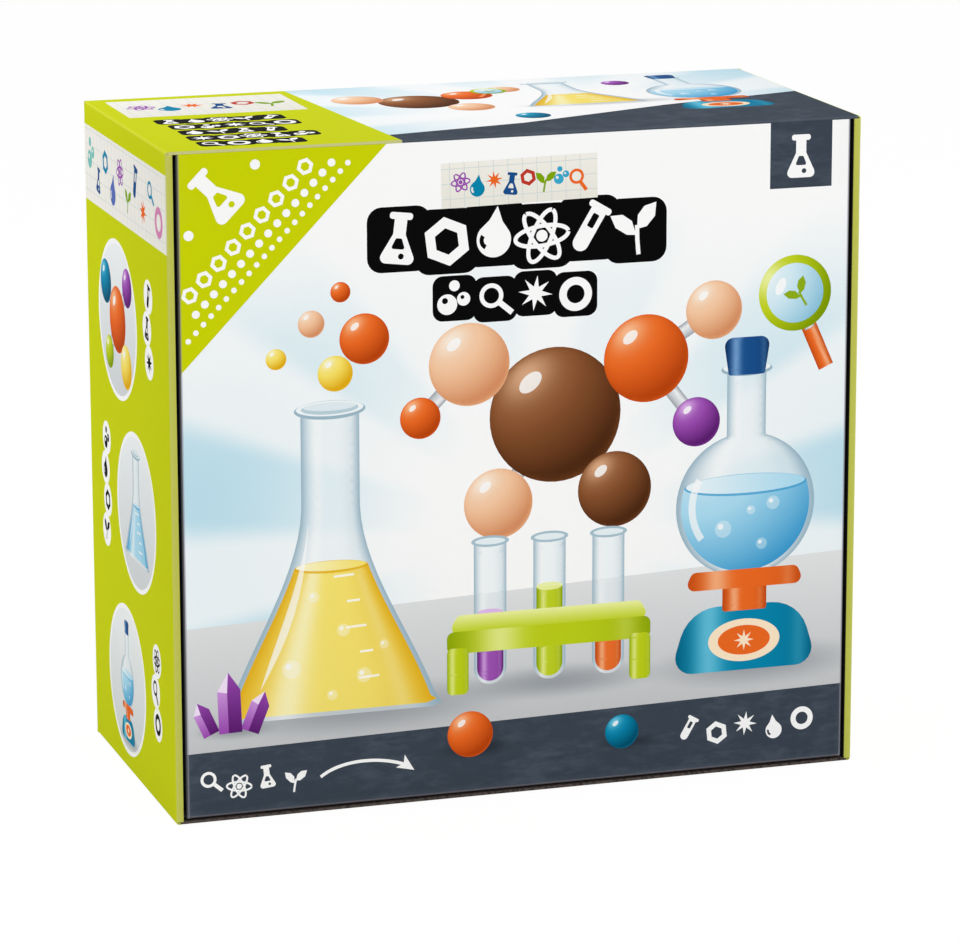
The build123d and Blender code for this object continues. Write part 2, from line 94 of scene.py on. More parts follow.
facing = Matrix((right, up, back)).transposed() @ Matrix.Rotation(view_roll, 3, "Z")
stand_point = (lowest + highest) / 2 + (back * view_distance + right * view_right - up * view_down) * MM
camera.matrix_world = Matrix.Translation(stand_point) @ facing.to_4x4()
bpy.context.scene.collection.objects.link(camera)
bpy.context.scene.camera = camera
bpy.context.scene.view_settings.view_transform = "Standard"

# ---- Floor and light ----
# A pale studio floor that runs out to white, one large soft lamp in front, and one behind on the left,
# which lights the far end of the left wall more than its front edge.


def rgb(colour):
    """An sRGB hex value as three numbers from 0 to 1."""
    return Vector([int(colour[i : i + 2], 16) / 255 for i in (1, 3, 5)])


def linear(colour):
    """An sRGB colour, a hex value or three numbers, as the renderer's own."""
    shade = rgb(colour) if isinstance(colour, str) else colour
    return [c / 12.92 if c <= 0.04045 else ((c + 0.055) / 1.055) ** 2.4 for c in shade] + [1.0]


def add(tree, kind, settings=(), links=()):
    """Adds a node, with settings on its sockets or itself and links into its sockets."""
    new = tree.nodes.new(kind)
    for name, value in dict(settings).items():
        if isinstance(name, int) or name in new.inputs:
            new.inputs[name].default_value = value
        else:
            setattr(new, name, value)
    for name, source in dict(links).items():
        tree.links.new(source, new.inputs[name])
    return new


def new_material(name):
    """An empty material with its tree and output."""
    material = bpy.data.materials.new(name)
    material.use_nodes = True
    material.node_tree.nodes.clear()
    return material, material.node_tree, material.node_tree.nodes.new("ShaderNodeOutputMaterial")


def made_object(name, bm, *materials):
    """A new object in the scene from a finished bmesh, with its materials."""
    mesh = bpy.data.meshes.new(name)
    bm.to_mesh(mesh)
    bm.free()
    for material in materials:
        mesh.materials.append(material)
    piece = bpy.data.objects.new(name, mesh)
    bpy.context.scene.collection.objects.link(piece)
    return piece


def seen_by_camera(tree):
    """1 for what the camera sees, straight, in a gloss or through something clear, and otherwise 0."""
    path = add(tree, "ShaderNodeLightPath").outputs
    seen = path["Is Camera Ray"]
    for ray in ("Is Glossy Ray", "Is Transmission Ray"):
        seen = add(tree, "ShaderNodeMath", {"operation": "MAXIMUM"}, {0: seen, 1: path[ray]}).outputs[0]
    return seen


floor_size = 9.0
floor_gap = 0.0001
floor_material, tree, output = new_material("pale studio floor")
share = add(tree, "ShaderNodeMath", {"operation": "MULTIPLY", 1: 0.93}, {0: seen_by_camera(tree)})
matt = add(tree, "ShaderNodeBsdfDiffuse", {"Color": linear("#E9E9E7")})
shine = add(tree, "ShaderNodeEmission", {"Strength": 1.03})
mixed = add(tree, "ShaderNodeMixShader", {}, {0: share.outputs[0], 1: matt.outputs[0], 2: shine.outputs[0]})
tree.links.new(mixed.outputs[0], output.inputs["Surface"])
bm = bmesh.new()
bmesh.ops.create_grid(bm, x_segments=1, y_segments=1, size=floor_size)
bmesh.ops.translate(bm, verts=bm.verts, vec=(0, 0, lowest.z - floor_gap))
made_object("floor", bm, floor_material)

world = bpy.data.worlds.new("studio")
bpy.context.scene.world = world
world.use_nodes = True
tree = world.node_tree
tree.nodes.clear()
level = add(tree, "ShaderNodeMapRange", {"To Min": 0.5, "To Max": 1.0}, {"Value": seen_by_camera(tree)})
glow = add(tree, "ShaderNodeBackground", {"Color": linear("#FFFFFF")}, {"Strength": level.outputs[0]})
tree.links.new(glow.outputs[0], tree.nodes.new("ShaderNodeOutputWorld").inputs["Surface"])


def soft_lamp(name, place, aim, size, power):
    """A square soft box that faces a point."""
    light = bpy.data.lights.new(name, "AREA")
    light.size = size
    light.energy = power
    lamp = bpy.data.objects.new(name, light)
    turn = (Vector(place) - Vector(aim)).to_track_quat("Z", "Y")
    lamp.matrix_world = Matrix.Translation(place) @ turn.to_matrix().to_4x4()
    bpy.context.scene.collection.objects.link(lamp)


soft_lamp("front lamp", (0.5, -1.9, 1.3), (0, 0, 0.11), 1.6, 21.4)
soft_lamp("top lamp", (0.1, 0.1, 1.6), (0, 0, 0.2), 1.2, 2.5)
soft_lamp("left rear lamp", (-0.45, 0.42, 0.5), (-0.12, 0.02, 0.12), 0.4, 2.1)

# ---- Carton board ----
# Micro-flute board: brown fluting between two liners, with the print on a coated outer liner under a gloss
# film. Every panel is one sheet, whose creased edges are rolled back and whose cut edges show the fluting.
board = 0.9
flute_pitch = 1.6
fibre_size = 0.35
snap = 0.002  # corners of the print nearer than this are one
rub_and_gleam_width = 0.55  # how far from the middle of a crease it is painted paler: rubbed film and painted highlight
rub_and_gleam_margin = 0.2  # how far before the crease that may start


def noise_at(tree, size_mm, detail=2.0, stretch=(1, 1, 1)):
    """Noise on the piece's own coordinates, with grains of a real size."""
    place = add(tree, "ShaderNodeTexCoord")
    scaled = add(tree, "ShaderNodeMapping", {"Scale": stretch}, {"Vector": place.outputs["Object"]})
    return add(
        tree,
        "ShaderNodeTexNoise",
        {"Scale": 1 / (size_mm * MM), "Detail": detail},
        {"Vector": scaled.outputs[0]},
    )


def two_shades(dark, light):
    """The settings of a colour mix between two shades."""
    return {"data_type": "RGBA", 6: linear(dark), 7: linear(light)}


# Offset print on coated paper under a gloss film: even ink, a faint orange peel in the film, and flat
# slate-coloured areas that are printed with a chalky cloud of lighter strokes.
print_board, tree, output = new_material("gloss film over offset print")
ink = add(tree, "ShaderNodeAttribute", {"attribute_name": "ink"})
cloud = noise_at(tree, 16.0, 5.0, (1, 1, 1.3))
streak = noise_at(tree, 3.0, 3.0, (0.5, 0.5, 1.4))
chalky = add(tree, "ShaderNodeMath", {"operation": "MULTIPLY"}, {0: cloud.outputs[0], 1: streak.outputs[0]})
chalk_share = add(
    tree,
    "ShaderNodeMapRange",
    {"From Min": 0.22, "From Max": 0.46, "To Min": 0.0, "To Max": 0.16},
    {"Value": chalky.outputs[0]},
)
chalk_here = add(
    tree,
    "ShaderNodeMath",
    {"operation": "MULTIPLY"},
    {0: chalk_share.outputs[0], 1: ink.outputs["Alpha"]},
)
chalked = add(
    tree,
    "ShaderNodeMix",
    {"data_type": "RGBA", 7: linear("#7C8796")},
    {0: chalk_here.outputs[0], 6: ink.outputs["Color"]},
)
peel = noise_at(tree, 3.0, 3.0)
wave = noise_at(tree, 38.0, 1.0)
relief = add(
    tree,
    "ShaderNodeMath",
    {"operation": "MULTIPLY_ADD", 1: 0.12},
    {0: peel.outputs[0], 2: wave.outputs[0]},
)
bump = add(tree, "ShaderNodeBump", {"Strength": 1.0, "Distance": 0.12 * MM}, {"Height": relief.outputs[0]})
gloss = add(tree, "ShaderNodeMapRange", {"To Min": 0.38, "To Max": 0.48}, {"Value": peel.outputs[0]})
shader = add(
    tree,
    "ShaderNodeBsdfPrincipled",
    {"Specular IOR Level": 0.002},
    {"Base Color": chalked.outputs[2], "Roughness": gloss.outputs[0], "Normal": bump.outputs[0]},
)
tree.links.new(shader.outputs[0], output.inputs["Surface"])


def bare_paper(name, dark, light, fibres, blotches, tones, rough, sheen, depth):
    """Uncoated paper: short fibres over broad blotches, which set its tone and its faint relief.

    Fibres have a detail and a stretch, blotches a size and a strength, and the two tones are where the
    dark shade ends and the light one begins.
    """
    material, tree, output = new_material(name)
    fibre = noise_at(tree, fibre_size, fibres[0], (1, 1, fibres[1]))
    blotch = noise_at(tree, blotches[0], 2.0)
    tone = add(
        tree,
        "ShaderNodeMath",
        {"operation": "MULTIPLY_ADD", 1: blotches[1]},
        {0: blotch.outputs[0], 2: fibre.outputs[0]},
    )
    limits = {"From Min": tones[0], "From Max": tones[1]}
    share = add(tree, "ShaderNodeMapRange", limits, {"Value": tone.outputs[0]})
    tint = add(tree, "ShaderNodeMix", two_shades(dark, light), {0: share.outputs[0]})
    bump = add(tree, "ShaderNodeBump", {"Strength": 1.0, "Distance": depth * MM}, {"Height": tone.outputs[0]})
    shader = add(
        tree,
        "ShaderNodeBsdfPrincipled",
        {"Roughness": rough, "Specular IOR Level": sheen},
        {"Base Color": tint.outputs[2], "Normal": bump.outputs[0]},
    )
    tree.links.new(shader.outputs[0], output.inputs["Surface"])
    return material


# White-lined board: a dull, slightly warm uncoated liner, whose short fibres and blotches just show.
white_liner = bare_paper(
    "uncoated white liner",
    "#EDEAE2",
    "#F8F6F1",
    fibres=(4.0, 0.4),
    blotches=(14.0, 0.45),
    tones=(0.45, 0.95),
    rough=0.82,
    sheen=0.3,
    depth=0.05,
)

# Cut edge of fluted board: dark grey-brown kraft with the mouths of the flutes as darker spots,
# a painted shade of their hollows.
cut_edge, tree, output = new_material("cut edge of fluted board")
place = add(tree, "ShaderNodeTexCoord")
flute_hollow_shade = add(
    tree,
    "ShaderNodeTexVoronoi",
    {"Scale": 1 / (flute_pitch * MM)},
    {"Vector": place.outputs["Object"]},
)
share = add(tree, "ShaderNodeMapRange", {"From Min": 0.15, "From Max": 0.6}, {"Value": flute_hollow_shade.outputs[0]})
tint = add(tree, "ShaderNodeMix", two_shades("#2D292A", "#564C47"), {0: share.outputs[0]})
shader = add(
    tree,
    "ShaderNodeBsdfPrincipled",
    {"Roughness": 0.9, "Specular IOR Level": 0.2},
    {"Base Color": tint.outputs[2]},
)
tree.links.new(shader.outputs[0], output.inputs["Surface"])


def clamp(value):
    """A value kept from 0 to 1."""
    return min(max(value, 0.0), 1.0)


def smooth(value, low, high):
    """0 below one value, 1 above the other, and an even curve between them."""
    t = clamp((value - low) / (high - low))
    return t * t * (3 - 2 * t)


def flat(colour, alpha=1.0, chalk=0.0):
    """One even ink."""
    shade = rgb(colour)
    return lambda u, v: (shade, alpha, chalk)


def fill(inks, shape, colour, alpha=1.0, chalk=0.0):
    """Prints a shape in one even ink."""
    inks.append((shape, flat(colour, alpha, chalk), 0))


def fade(start, end, first, last):
    """Ink that runs evenly from one place and colour to another."""
    begin, way = Vector(start), Vector(end) - Vector(start)
    shades = rgb(first), rgb(last)

    def paint(u, v):
        t = clamp((Vector((u, v)) - begin).dot(way) / way.length_squared)
        return shades[0].lerp(shades[1], t), 1.0, 0.0

    return paint


def halo(u0, v0, ru, rv, colour, alpha):
    """Ink that is strongest at a centre and gone at the rim of an oval."""
    shade = rgb(colour)

    def paint(u, v):
        out = math.hypot((u - u0) / ru, (v - v0) / rv)
        return shade, alpha * (1 - smooth(out, 0.0, 1.0)) ** 0.8, 0.0

    return paint


def rectangle(left, right, foot, top):
    """The corners of a plain rectangle."""
    return [Vector(p) for p in ((left, foot), (right, foot), (right, top), (left, top))]


def oval(u, v, ru, rv=None, turn=0.0, start=0.0, end=360.0, steps=40):
    """Points of an oval, or of a part of one."""
    rv = ru if rv is None else rv
    whole = end - start >= 360
    turns = [math.radians(start + (end - start) * i / steps) for i in range(steps + (0 if whole else 1))]
    c, s = math.cos(math.radians(turn)), math.sin(math.radians(turn))
    raw = [(ru * math.cos(a), rv * math.sin(a)) for a in turns]
    return [Vector((u + x * c - y * s, v + x * s + y * c)) for x, y in raw]


def rounded(corners, radius):
    """A closed outline whose corners are rounded by arcs, one radius for all or one each."""
    corners = [Vector(c) for c in corners]
    radii = [radius] * len(corners) if isinstance(radius, (int, float)) else radius
    outline = []
    for i, corner in enumerate(corners):
        one = (corners[i - 1] - corner).normalized()
        two = (corners[(i + 1) % len(corners)] - corner).normalized()
        half = one.angle(two) / 2
        if radii[i] < 0.01 or half > math.radians(89):
            outline.append(corner)
            continue
        centre = corner + (one + two).normalized() * (radii[i] / math.sin(half))
        first = corner + one * (radii[i] / math.tan(half)) - centre
        last = corner + two * (radii[i] / math.tan(half)) - centre
        turn = first.angle_signed(last)
        for step in range(7):
            outline.append(centre + Matrix.Rotation(-turn * step / 6, 2) @ first)
    return outline


def stroke(line, width):
    """The outline of a line drawn with a pen."""
    line = [Vector(p) for p in line]
    sides = [], []
    for i, point in enumerate(line):
        way = (line[min(i + 1, len(line) - 1)] - line[max(i - 1, 0)]).normalized()
        across = Vector((-way.y, way.x)) * width / 2
        sides[0].append(point + across)
        sides[1].append(point - across)
    outline = sides[0] + sides[1][::-1]
    quarter_way = len(outline) // 4
    return outline[quarter_way:] + outline[:quarter_way]


def moved(shape, u, v, size=1.0, turn=0.0):
    """A shape turned, scaled and put at a place."""
    spin = Matrix.Rotation(math.radians(turn), 2)
    return [Vector((u, v)) + size * (spin @ Vector(p)) for p in shape]


def print_group(inks, group, u, v, size=1.0, turn=0.0):
    """Prints a group of inks turned, scaled and put at a place."""
    spin = Matrix.Rotation(math.radians(-turn), 2)
    middle = Vector((u, v))

    def carried(paint):
        return lambda a, b: paint(*(spin @ (Vector((a, b)) - middle) / size))

    for shape, paint, step in group:
        inks.append((moved(shape, u, v, size, turn), carried(paint), step * size))


def inside(shape, u, v):
    """Whether a point lies within an outline."""
    crossed = False
    for i, a in enumerate(shape):
        b = shape[i - 1]
        if (a[1] > v) != (b[1] > v) and u < (b[0] - a[0]) * (v - a[1]) / (b[1] - a[1]) + a[0]:
            crossed = not crossed
    return crossed


def scattered(shape, step):
    """Points in staggered rows all over the inside of an outline."""
    left, foot = (min(p[i] for p in shape) for i in (0, 1))
    right, top = (max(p[i] for p in shape) for i in (0, 1))
    spots = []
    for row in range(int((top - foot) / step) + 1):
        for column in range(int((right - left) / step) + 1):
            spot = (left + (column + 0.25 + 0.5 * (row % 2)) * step, foot + (row + 0.5) * step * 0.9)
            if inside(shape, *spot):
                spots.append(Vector(spot))
    return spots


def along(roll, distance):
    """How far out and how deep a sheet's edge is after a distance round its roll of (radius, length) runs."""
    out = deep = heading = 0.0
    for radius, length in roll:
        step = min(distance, length)
        if radius:
            turn = step / radius
            out += radius * (math.sin(heading + turn) - math.sin(heading))
            deep += radius * (math.cos(heading) - math.cos(heading + turn))
            heading += turn
        else:
            out += step * math.cos(heading)
            deep += step * math.sin(heading)
        distance -= step
        if distance <= 0:
            break
    return out, deep


def bent(corner, rolls):
    """Where a place on the flat sheet comes to lie, and how deep, once its edges are rolled back."""
    spot, deep = list(corner), 0.0
    for axis, sign, start, roll in rolls:
        over = sign * (spot[axis] - start)
        if over > 0:
            out, more = along(roll, over)
            spot[axis] = start + sign * out
            deep += more
    return *spot, deep


def quarter(radius):
    """A roll through a right angle."""
    return [(radius, radius * math.pi / 2)]


def standing(origin, right, up):
    """Where a point of a face is in space, from the place of its zero and its two directions."""
    inward = Vector(up).cross(Vector(right))
    return lambda u, v, deep: (Vector(origin) + u * Vector(right) + v * Vector(up) + deep * inward) * MM


def crease_lines(rolls, low, high):
    """The pen lines across a sheet that let it bend: where each arc begins, its steps and its end."""
    lines = []
    for axis, sign, start, roll in rolls:
        distance = 0.0
        for radius, length in roll:
            steps = 6 if radius else 1
            for step in range(steps + 1):
                at = start + sign * (distance + length * step / steps)
                ends = [[at, at], [at, at]]
                ends[0][1 - axis], ends[1][1 - axis] = low[1 - axis], high[1 - axis]
                lines.append(ends)
            distance += length
    return lines


def in_steps(line, longest, closed=True):
    """A line with more points on its long runs."""
    points = []
    for i, start in enumerate(line):
        if i == len(line) - 1 and not closed:
            return points + [Vector(start)]
        end = Vector(line[(i + 1) % len(line)])
        runs = max(1, math.ceil((end - Vector(start)).length / longest))
        points.extend(Vector(start).lerp(end, run / runs) for run in range(runs))
    return points


def printed_colour(inks, layers, corner, rolls, rub_and_gleam_colour, rub_and_gleam):
    """The colour and the chalk of a place on the flat sheet, from its inks and the paler creases: rubbed ink
    and a painted highlight of each bend.
    """
    colour, chalk = Vector((1, 1, 1)), 0.0
    for index in layers:
        shade, alpha, rough = inks[index][1](*corner)
        colour = colour.lerp(shade, alpha)
        chalk += (rough - chalk) * alpha
    # Creases are painted paler towards their middle: rubbed ink, and a painted highlight of the bend.
    for axis, sign, start, roll in rolls:
        over = sign * (corner[axis] - start)
        radius, length = roll[0]
        if over > -rub_and_gleam_margin and radius:
            rub_and_gleam_here = rub_and_gleam * math.exp(-(((over - length / 2) / rub_and_gleam_width) ** 2))
            colour = colour.lerp(rgb(rub_and_gleam_colour), rub_and_gleam_here)
    return linear(colour)[:3] + [chalk]


def printed_sheet(name, inks, rolls, place, grain, thickness=board, rub_and_gleam_colour="#F3EFE2", rub_and_gleam=0.34, rim=2):
    """A panel cut from board. The first ink covers the whole blank, and a later one covers what it lies on.

    Every ink is cut into the face itself, so the print is one flat skin, and an ink of None is a slot cut
    through it. Colours are set at the corners of its facets, with more facets where an ink changes from
    place to place: of the given grain on the blank, and of an ink's own step elsewhere. The creases are
    painted paler towards another colour, as rubbed ink and as a painted highlight of each bend, and the
    rim shows the board's core unless it is 0, for print.
    """
    points, outlines, folds = [], [], []
    for shape, paint, step in inks:
        area = sum(a[0] * b[1] - b[0] * a[1] for a, b in zip(shape, list(shape[1:]) + [shape[0]]))
        line = in_steps(shape, grain)
        outlines.append(list(range(len(points), len(points) + len(line)))[:: 1 if area > 0 else -1])
        points.extend(line)
    blank = inks[0][0]
    low = [min(p[i] for p in blank) - 1 for i in (0, 1)]
    high = [max(p[i] for p in blank) + 1 for i in (0, 1)]
    for ends in crease_lines(rolls, low, high):
        line = in_steps(ends, 2 * grain, False)
        folds.extend((len(points) + i, len(points) + i + 1) for i in range(len(line) - 1))
        points.extend(line)
    for shape, paint, step in inks:
        step = grain if shape is blank else step
        if step:
            points.extend(scattered(shape, step))
    corners, _, facets, _, _, owners = geometry.delaunay_2d_cdt(points, folds, outlines, 1, snap, True)
    bm = bmesh.new()
    layer = bm.loops.layers.float_color.new("ink")
    verts = [bm.verts.new(place(*bent(corner, rolls))) for corner in corners]
    seen = {}
    slots = {index for index, (shape, paint, step) in enumerate(inks) if paint is None}
    for facet, owner in zip(facets, owners):
        if 0 not in owner or slots & set(owner):
            continue
        try:
            face = bm.faces.new([verts[i] for i in facet])
        except ValueError:
            continue
        layers = tuple(sorted(owner))
        for loop, i in zip(face.loops, facet):
            if (i, layers) not in seen:
                seen[i, layers] = printed_colour(inks, layers, corners[i], rolls, rub_and_gleam_colour, rub_and_gleam)
            loop[layer] = seen[i, layers]
    bmesh.ops.delete(bm, geom=[v for v in bm.verts if not v.link_faces], context="VERTS")
    bmesh.ops.dissolve_degenerate(bm, dist=snap * MM, edges=bm.edges)
    panel = made_object(name, bm, print_board, white_liner, cut_edge)
    body = panel.modifiers.new("thickness", "SOLIDIFY")
    body.thickness = thickness * MM
    body.offset = -1
    body.material_offset = 1
    body.material_offset_rim = rim
    return panel


# ---- Lid ----
# The front of the carton, one panel of printed board. It is creased to the top panel, and its other three
# edges are creased too: to an ear on each side and to the tuck flap below.
low, high = (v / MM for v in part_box("lid_panel"))
drawn_in = 0.25  # its creases draw the sheet in on each side
lid_half = high.x - drawn_in
lid_low, lid_high = low.z, high.z
lid_front = low.y
crease = board

# Inks of the print, and for what is drawn round, its dark, middle and light shade.
lime = "#CCD509"
slate = "#3D4652"
black = "#0C0C0D"
white = "#FFFFFF"
teal = ("#03506B", "#0A86AE", "#7FD3EC")
orange = ("#B8430F", "#EE6A24", "#FFC49A")
brown = ("#4E2A14", "#8A5330", "#E0B08A")
peach = ("#D98F62", "#F8C9A2", "#FFF1E2")
navy = ("#0C2548", "#1B4F8C", "#8FB9E6")
purple = ("#5B1F6E", "#9A4BB0", "#E2B6EE")
green = ("#7E9A06", "#BFD01C", "#F1F7A8")
yellow = ("#E3A913", "#FBE468", "#FFFBD6")
water = ("#3E9BD0", "#A9DCF3", "#F2FBFF")
glass = ("#86A7BA", "#EDF6FA", white)
grey = ("#8A8F96", "#D9DDE1", white)


def round_body(u0, half, shades, alphas=(1.0, 1.0)):
    """Ink for something upright and round: dark at its sides, with a gleam left of its middle."""
    dark, middle, light = (rgb(shade) for shade in shades)

    def paint(u, v):
        t = (u - u0) / max(half(v) if callable(half) else half, 0.1)
        edge = min(abs(t), 1.0) ** 3
        gleam = math.exp(-(((t + 0.46) / 0.2) ** 2)) + 0.35 * math.exp(-(((t - 0.72) / 0.1) ** 2))
        shade = middle.lerp(dark, 0.85 * edge).lerp(light, clamp(0.75 * gleam))
        return shade, alphas[0] + (alphas[1] - alphas[0]) * max(edge, 0.6 * gleam), 0.0

    return paint


def ball_ink(u0, v0, radius, shades):
    """Ink for a ball that is lit from above on the left, with some light thrown back up from below."""
    dark, middle, light = (rgb(shade) for shade in shades)
    lamp = Vector((-0.45, 0.62, 0.64)).normalized()

    def paint(u, v):
        out = Vector(((u - u0) / radius, (v - v0) / radius, 0))
        out.z = math.sqrt(max(0.0, 1 - min(out.length_squared, 1.0)))
        lit = out.dot(lamp)
        shade = dark.lerp(middle, clamp(0.25 + 1.05 * lit))
        thrown = smooth(out.length_squared - out.z, 0.4, 1.0) * smooth(-lit, -0.1, 0.7)
        shade = shade.lerp(middle, 0.55 * thrown)
        return shade.lerp(light, clamp(lit) ** 9 * 0.95), 1.0, 0.0

    return paint


def ball(inks, u, v, radius, shades):
    """A glossy ball."""
    inks.append((oval(u, v, radius, steps=48), ball_ink(u, v, radius, shades), radius / 9))
    gleam = oval(u - radius * 0.38, v + radius * 0.5, radius * 0.2, radius * 0.12, 40, steps=20)
    fill(inks, gleam, white, 0.85)


def bar(inks, start, end, width, shades):
    """A round rod between two places."""
    dark, middle, light = (rgb(shade) for shade in shades)
    begin, way = Vector(start), (Vector(end) - Vector(start)).normalized()

    def paint(u, v):
        t = (Vector((u, v)) - begin).dot(Vector((-way.y, way.x))) / (width / 2)
        shade = middle.lerp(dark, min(abs(t), 1.0) ** 2 * 0.8)
        return shade.lerp(light, math.exp(-(((t - 0.35) / 0.3) ** 2)) * 0.8), 1.0, 0.0

    inks.append((stroke((start, end), width), paint, width / 5))


def soft_shadow(inks, u, v, ru, rv, alpha=0.42, colour="#5C646E"):
    """The shade under something that stands on a pale table."""
    inks.append((oval(u, v, ru, rv, steps=48), halo(u, v, ru, rv, colour, alpha), rv / 3.5))


def bubbles(inks, spots):
    """Small rings with a gleam, for bubbles in a liquid."""
    for u, v, radius in spots:
        fill(inks, oval(u, v, radius, steps=20), white, 0.36)
        fill(inks, oval(u - radius * 0.3, v + radius * 0.3, radius * 0.35, steps=12), white, 0.8)


def glass_mouth(inks, v, half):
    """The rim of a glass vessel, seen a little from above."""
    rim = half + 2.2
    fill(inks, oval(0, v, rim, rim * 0.26), "#9DB9C8")
    fill(inks, oval(0, v + 0.5, rim - 0.7, rim * 0.26 - 0.6), "#F4FAFC")
    fill(inks, oval(0, v + 0.5, half - 0.2, half * 0.2), "#BCD2DD")
    fill(inks, oval(0, v + 1.1, half - 1.0, half * 0.14), "#E3EFF4")


def pool_top(inks, level, reach, liquid):
    """The surface of a liquid, seen a little from above."""
    fill(inks, oval(0, level, reach, reach * 0.17), liquid[0], 0.7)
    surface = fade((-reach, level), (reach, level), liquid[2], liquid[1])
    inks.append((oval(0, level + 0.35, reach - 0.6, reach * 0.17 - 0.5), surface, 2.0))


glass_wall = 1.8


def conical_flask(foot, tall, neck, level, liquid):
    """A conical flask on its foot, part full."""
    inks = []
    shoulder = tall * 0.7

    def half(at):
        return neck + (foot - neck) * (1 - smooth(at, -tall * 0.16, shoulder))

    def body(top, inset):
        side = [(foot * 0.86 - inset, inset * 0.8), (foot * 0.955 - inset, 1.2 + inset * 0.8)]
        side += [(half(at) - inset, at) for at in (inset + (top - inset) * i / 22 for i in range(1, 23))]
        return [Vector(p) for p in side] + [Vector((-a, b)) for a, b in side[::-1]]

    soft_shadow(inks, foot * 0.25, 1.5, foot * 1.5, foot * 0.26)
    inks.append((body(tall, 0), round_body(0, half, glass, (0.5, 0.95)), 2.2))
    filling = round_body(0, lambda at: half(at) - glass_wall, liquid, (0.93, 1.0))
    inks.append((body(level, glass_wall), filling, 1.6))
    pool_top(inks, level, half(level) - glass_wall, liquid)
    for i in range(5):
        at = tall * (0.12 + 0.085 * i)
        long = 7 if i % 2 == 0 else 4.5
        line = [(half(at) * 0.5 - x, at - x * 0.05) for x in (0, long)]
        fill(inks, stroke(line, 0.8), white, 0.85)
    heights = [tall * (0.1 + 0.06 * i) for i in range(10)]
    streak = [(-half(at) * 0.74, at) for at in heights]
    inner = [(-half(at) * (0.74 - 0.14 * math.sin(math.pi * i / 9)), at) for i, at in enumerate(heights)]
    fill(inks, streak + inner[-2:0:-1], white, 0.75)
    glass_mouth(inks, tall, neck)
    return inks


def round_flask(radius, neck, top, level, liquid):
    """A round-bottomed flask, part full, about the middle of its ball."""
    inks = []
    join = math.degrees(math.acos(neck / radius))
    outline = oval(0, 0, radius, start=180 - join, end=360 + join, steps=56)
    outline += [Vector((neck, top)), Vector((-neck, top))]

    def half(at):
        return math.sqrt(max(radius**2 - at**2, neck**2)) if at < radius else neck

    inks.append((outline, round_body(0, half, glass, (0.5, 0.95)), 1.8))
    core = radius - glass_wall
    dip = math.degrees(math.asin(level / core))
    pool = oval(0, 0, core, start=180 - dip, end=360 + dip, steps=48)
    inks.append((pool, ball_ink(0, 0, core * 1.2, liquid), 1.6))
    pool_top(inks, level, math.sqrt(core**2 - level**2), liquid)
    outer, inner = (oval(0, 0, radius * part, start=150, end=215, steps=14) for part in (0.82, 0.72))
    fill(inks, outer + inner[::-1], white, 0.75)
    glass_mouth(inks, top, neck)
    return inks


def tall_tube(half, tall, level, liquid):
    """A test tube on its foot, part full."""
    inks = []
    core = half - 1.1
    for width, top, shades, alphas in ((half, tall, glass, (0.6, 0.95)), (core, level, liquid, (0.95, 1.0))):
        shape = oval(0, half, width, start=180, end=360, steps=16)
        shape += [Vector((width, top)), Vector((-width, top))]
        inks.append((shape, round_body(0, width, shades, alphas), 1.2))
    fill(inks, oval(0, level, core, core * 0.3, steps=20), liquid[2], 0.9)
    fill(inks, oval(0, tall, half + 1.0, half * 0.34, steps=24), "#A9C3D0")
    fill(inks, oval(0, tall, half - 0.4, half * 0.2, steps=24), "#EAF4F8")
    return inks


def molecule(atoms, bonds):
    """A ball-and-stick model: the sticks first, then the balls."""
    inks = []
    for a, b in bonds:
        bar(inks, atoms[a][:2], atoms[b][:2], 5.0, grey)
    for u, v, radius, shades in atoms:
        ball(inks, u, v, radius, shades)
    return inks


def burner_stand():
    """A teal foot with an orange neck and ring, for a round flask to stand in."""
    inks = []
    soft_shadow(inks, 4, 2, 44, 9)
    foot = rounded([(-27, 0), (27, 0), (20, 23), (-20, 23)], [6, 6, 14, 14])
    inks.append((foot, round_body(0, 28, teal), 1.6))
    inks.append((rounded(rectangle(-8, 8, 21, 33), 1.0), round_body(0, 8, orange), 1.2))
    fill(inks, oval(0, 10.5, 13, 7.5), "#FFE9C9")
    fill(inks, oval(0, 10.5, 9.5, 5.2), orange[1])
    stamp(inks, spark_sign, 0, 10.5, 7, 0, "#FFE9C9", orange[1])
    print_group(inks, round_flask(25, 7, 47, 7, water), 0, 58)
    collar = rounded([(-22, 29), (22, 29), (19, 35.5), (-19, 35.5)], 2.5)
    inks.append((collar, round_body(0, 22, orange), 1.2))
    bubbles(inks, ((-8, 50, 3), (6, 44, 2), (2, 56, 1.6), (10, 58, 2.4)))
    stopper = rounded([(-6.5, 103), (6.5, 103), (8.5, 116), (-8.5, 116)], [1, 1, 3, 3])
    inks.append((stopper, round_body(0, 8.5, navy), 1.2))
    return inks


def magnifier():
    """A magnifying glass with a lime rim and an orange grip."""
    inks = []
    bar(inks, (0, -18), (0, -46), 9, orange)
    bar(inks, (0, -14), (0, -22), 6, grey)
    inks.append((oval(0, 0, 21, steps=56), ball_ink(0, 0, 24, green), 1.8))
    inks.append((oval(0, 0, 16.5, steps=48), ball_ink(-2, 3, 24, ("#8CC4DE", "#D5EEF8", white)), 1.8))
    fill(inks, oval(-6, 7, 5, 2.6, 42), white, 0.9)
    stamp(inks, leaf_sign, 2, -2, 15, 10, "#8FAF1B", "#D5EEF8")
    return inks


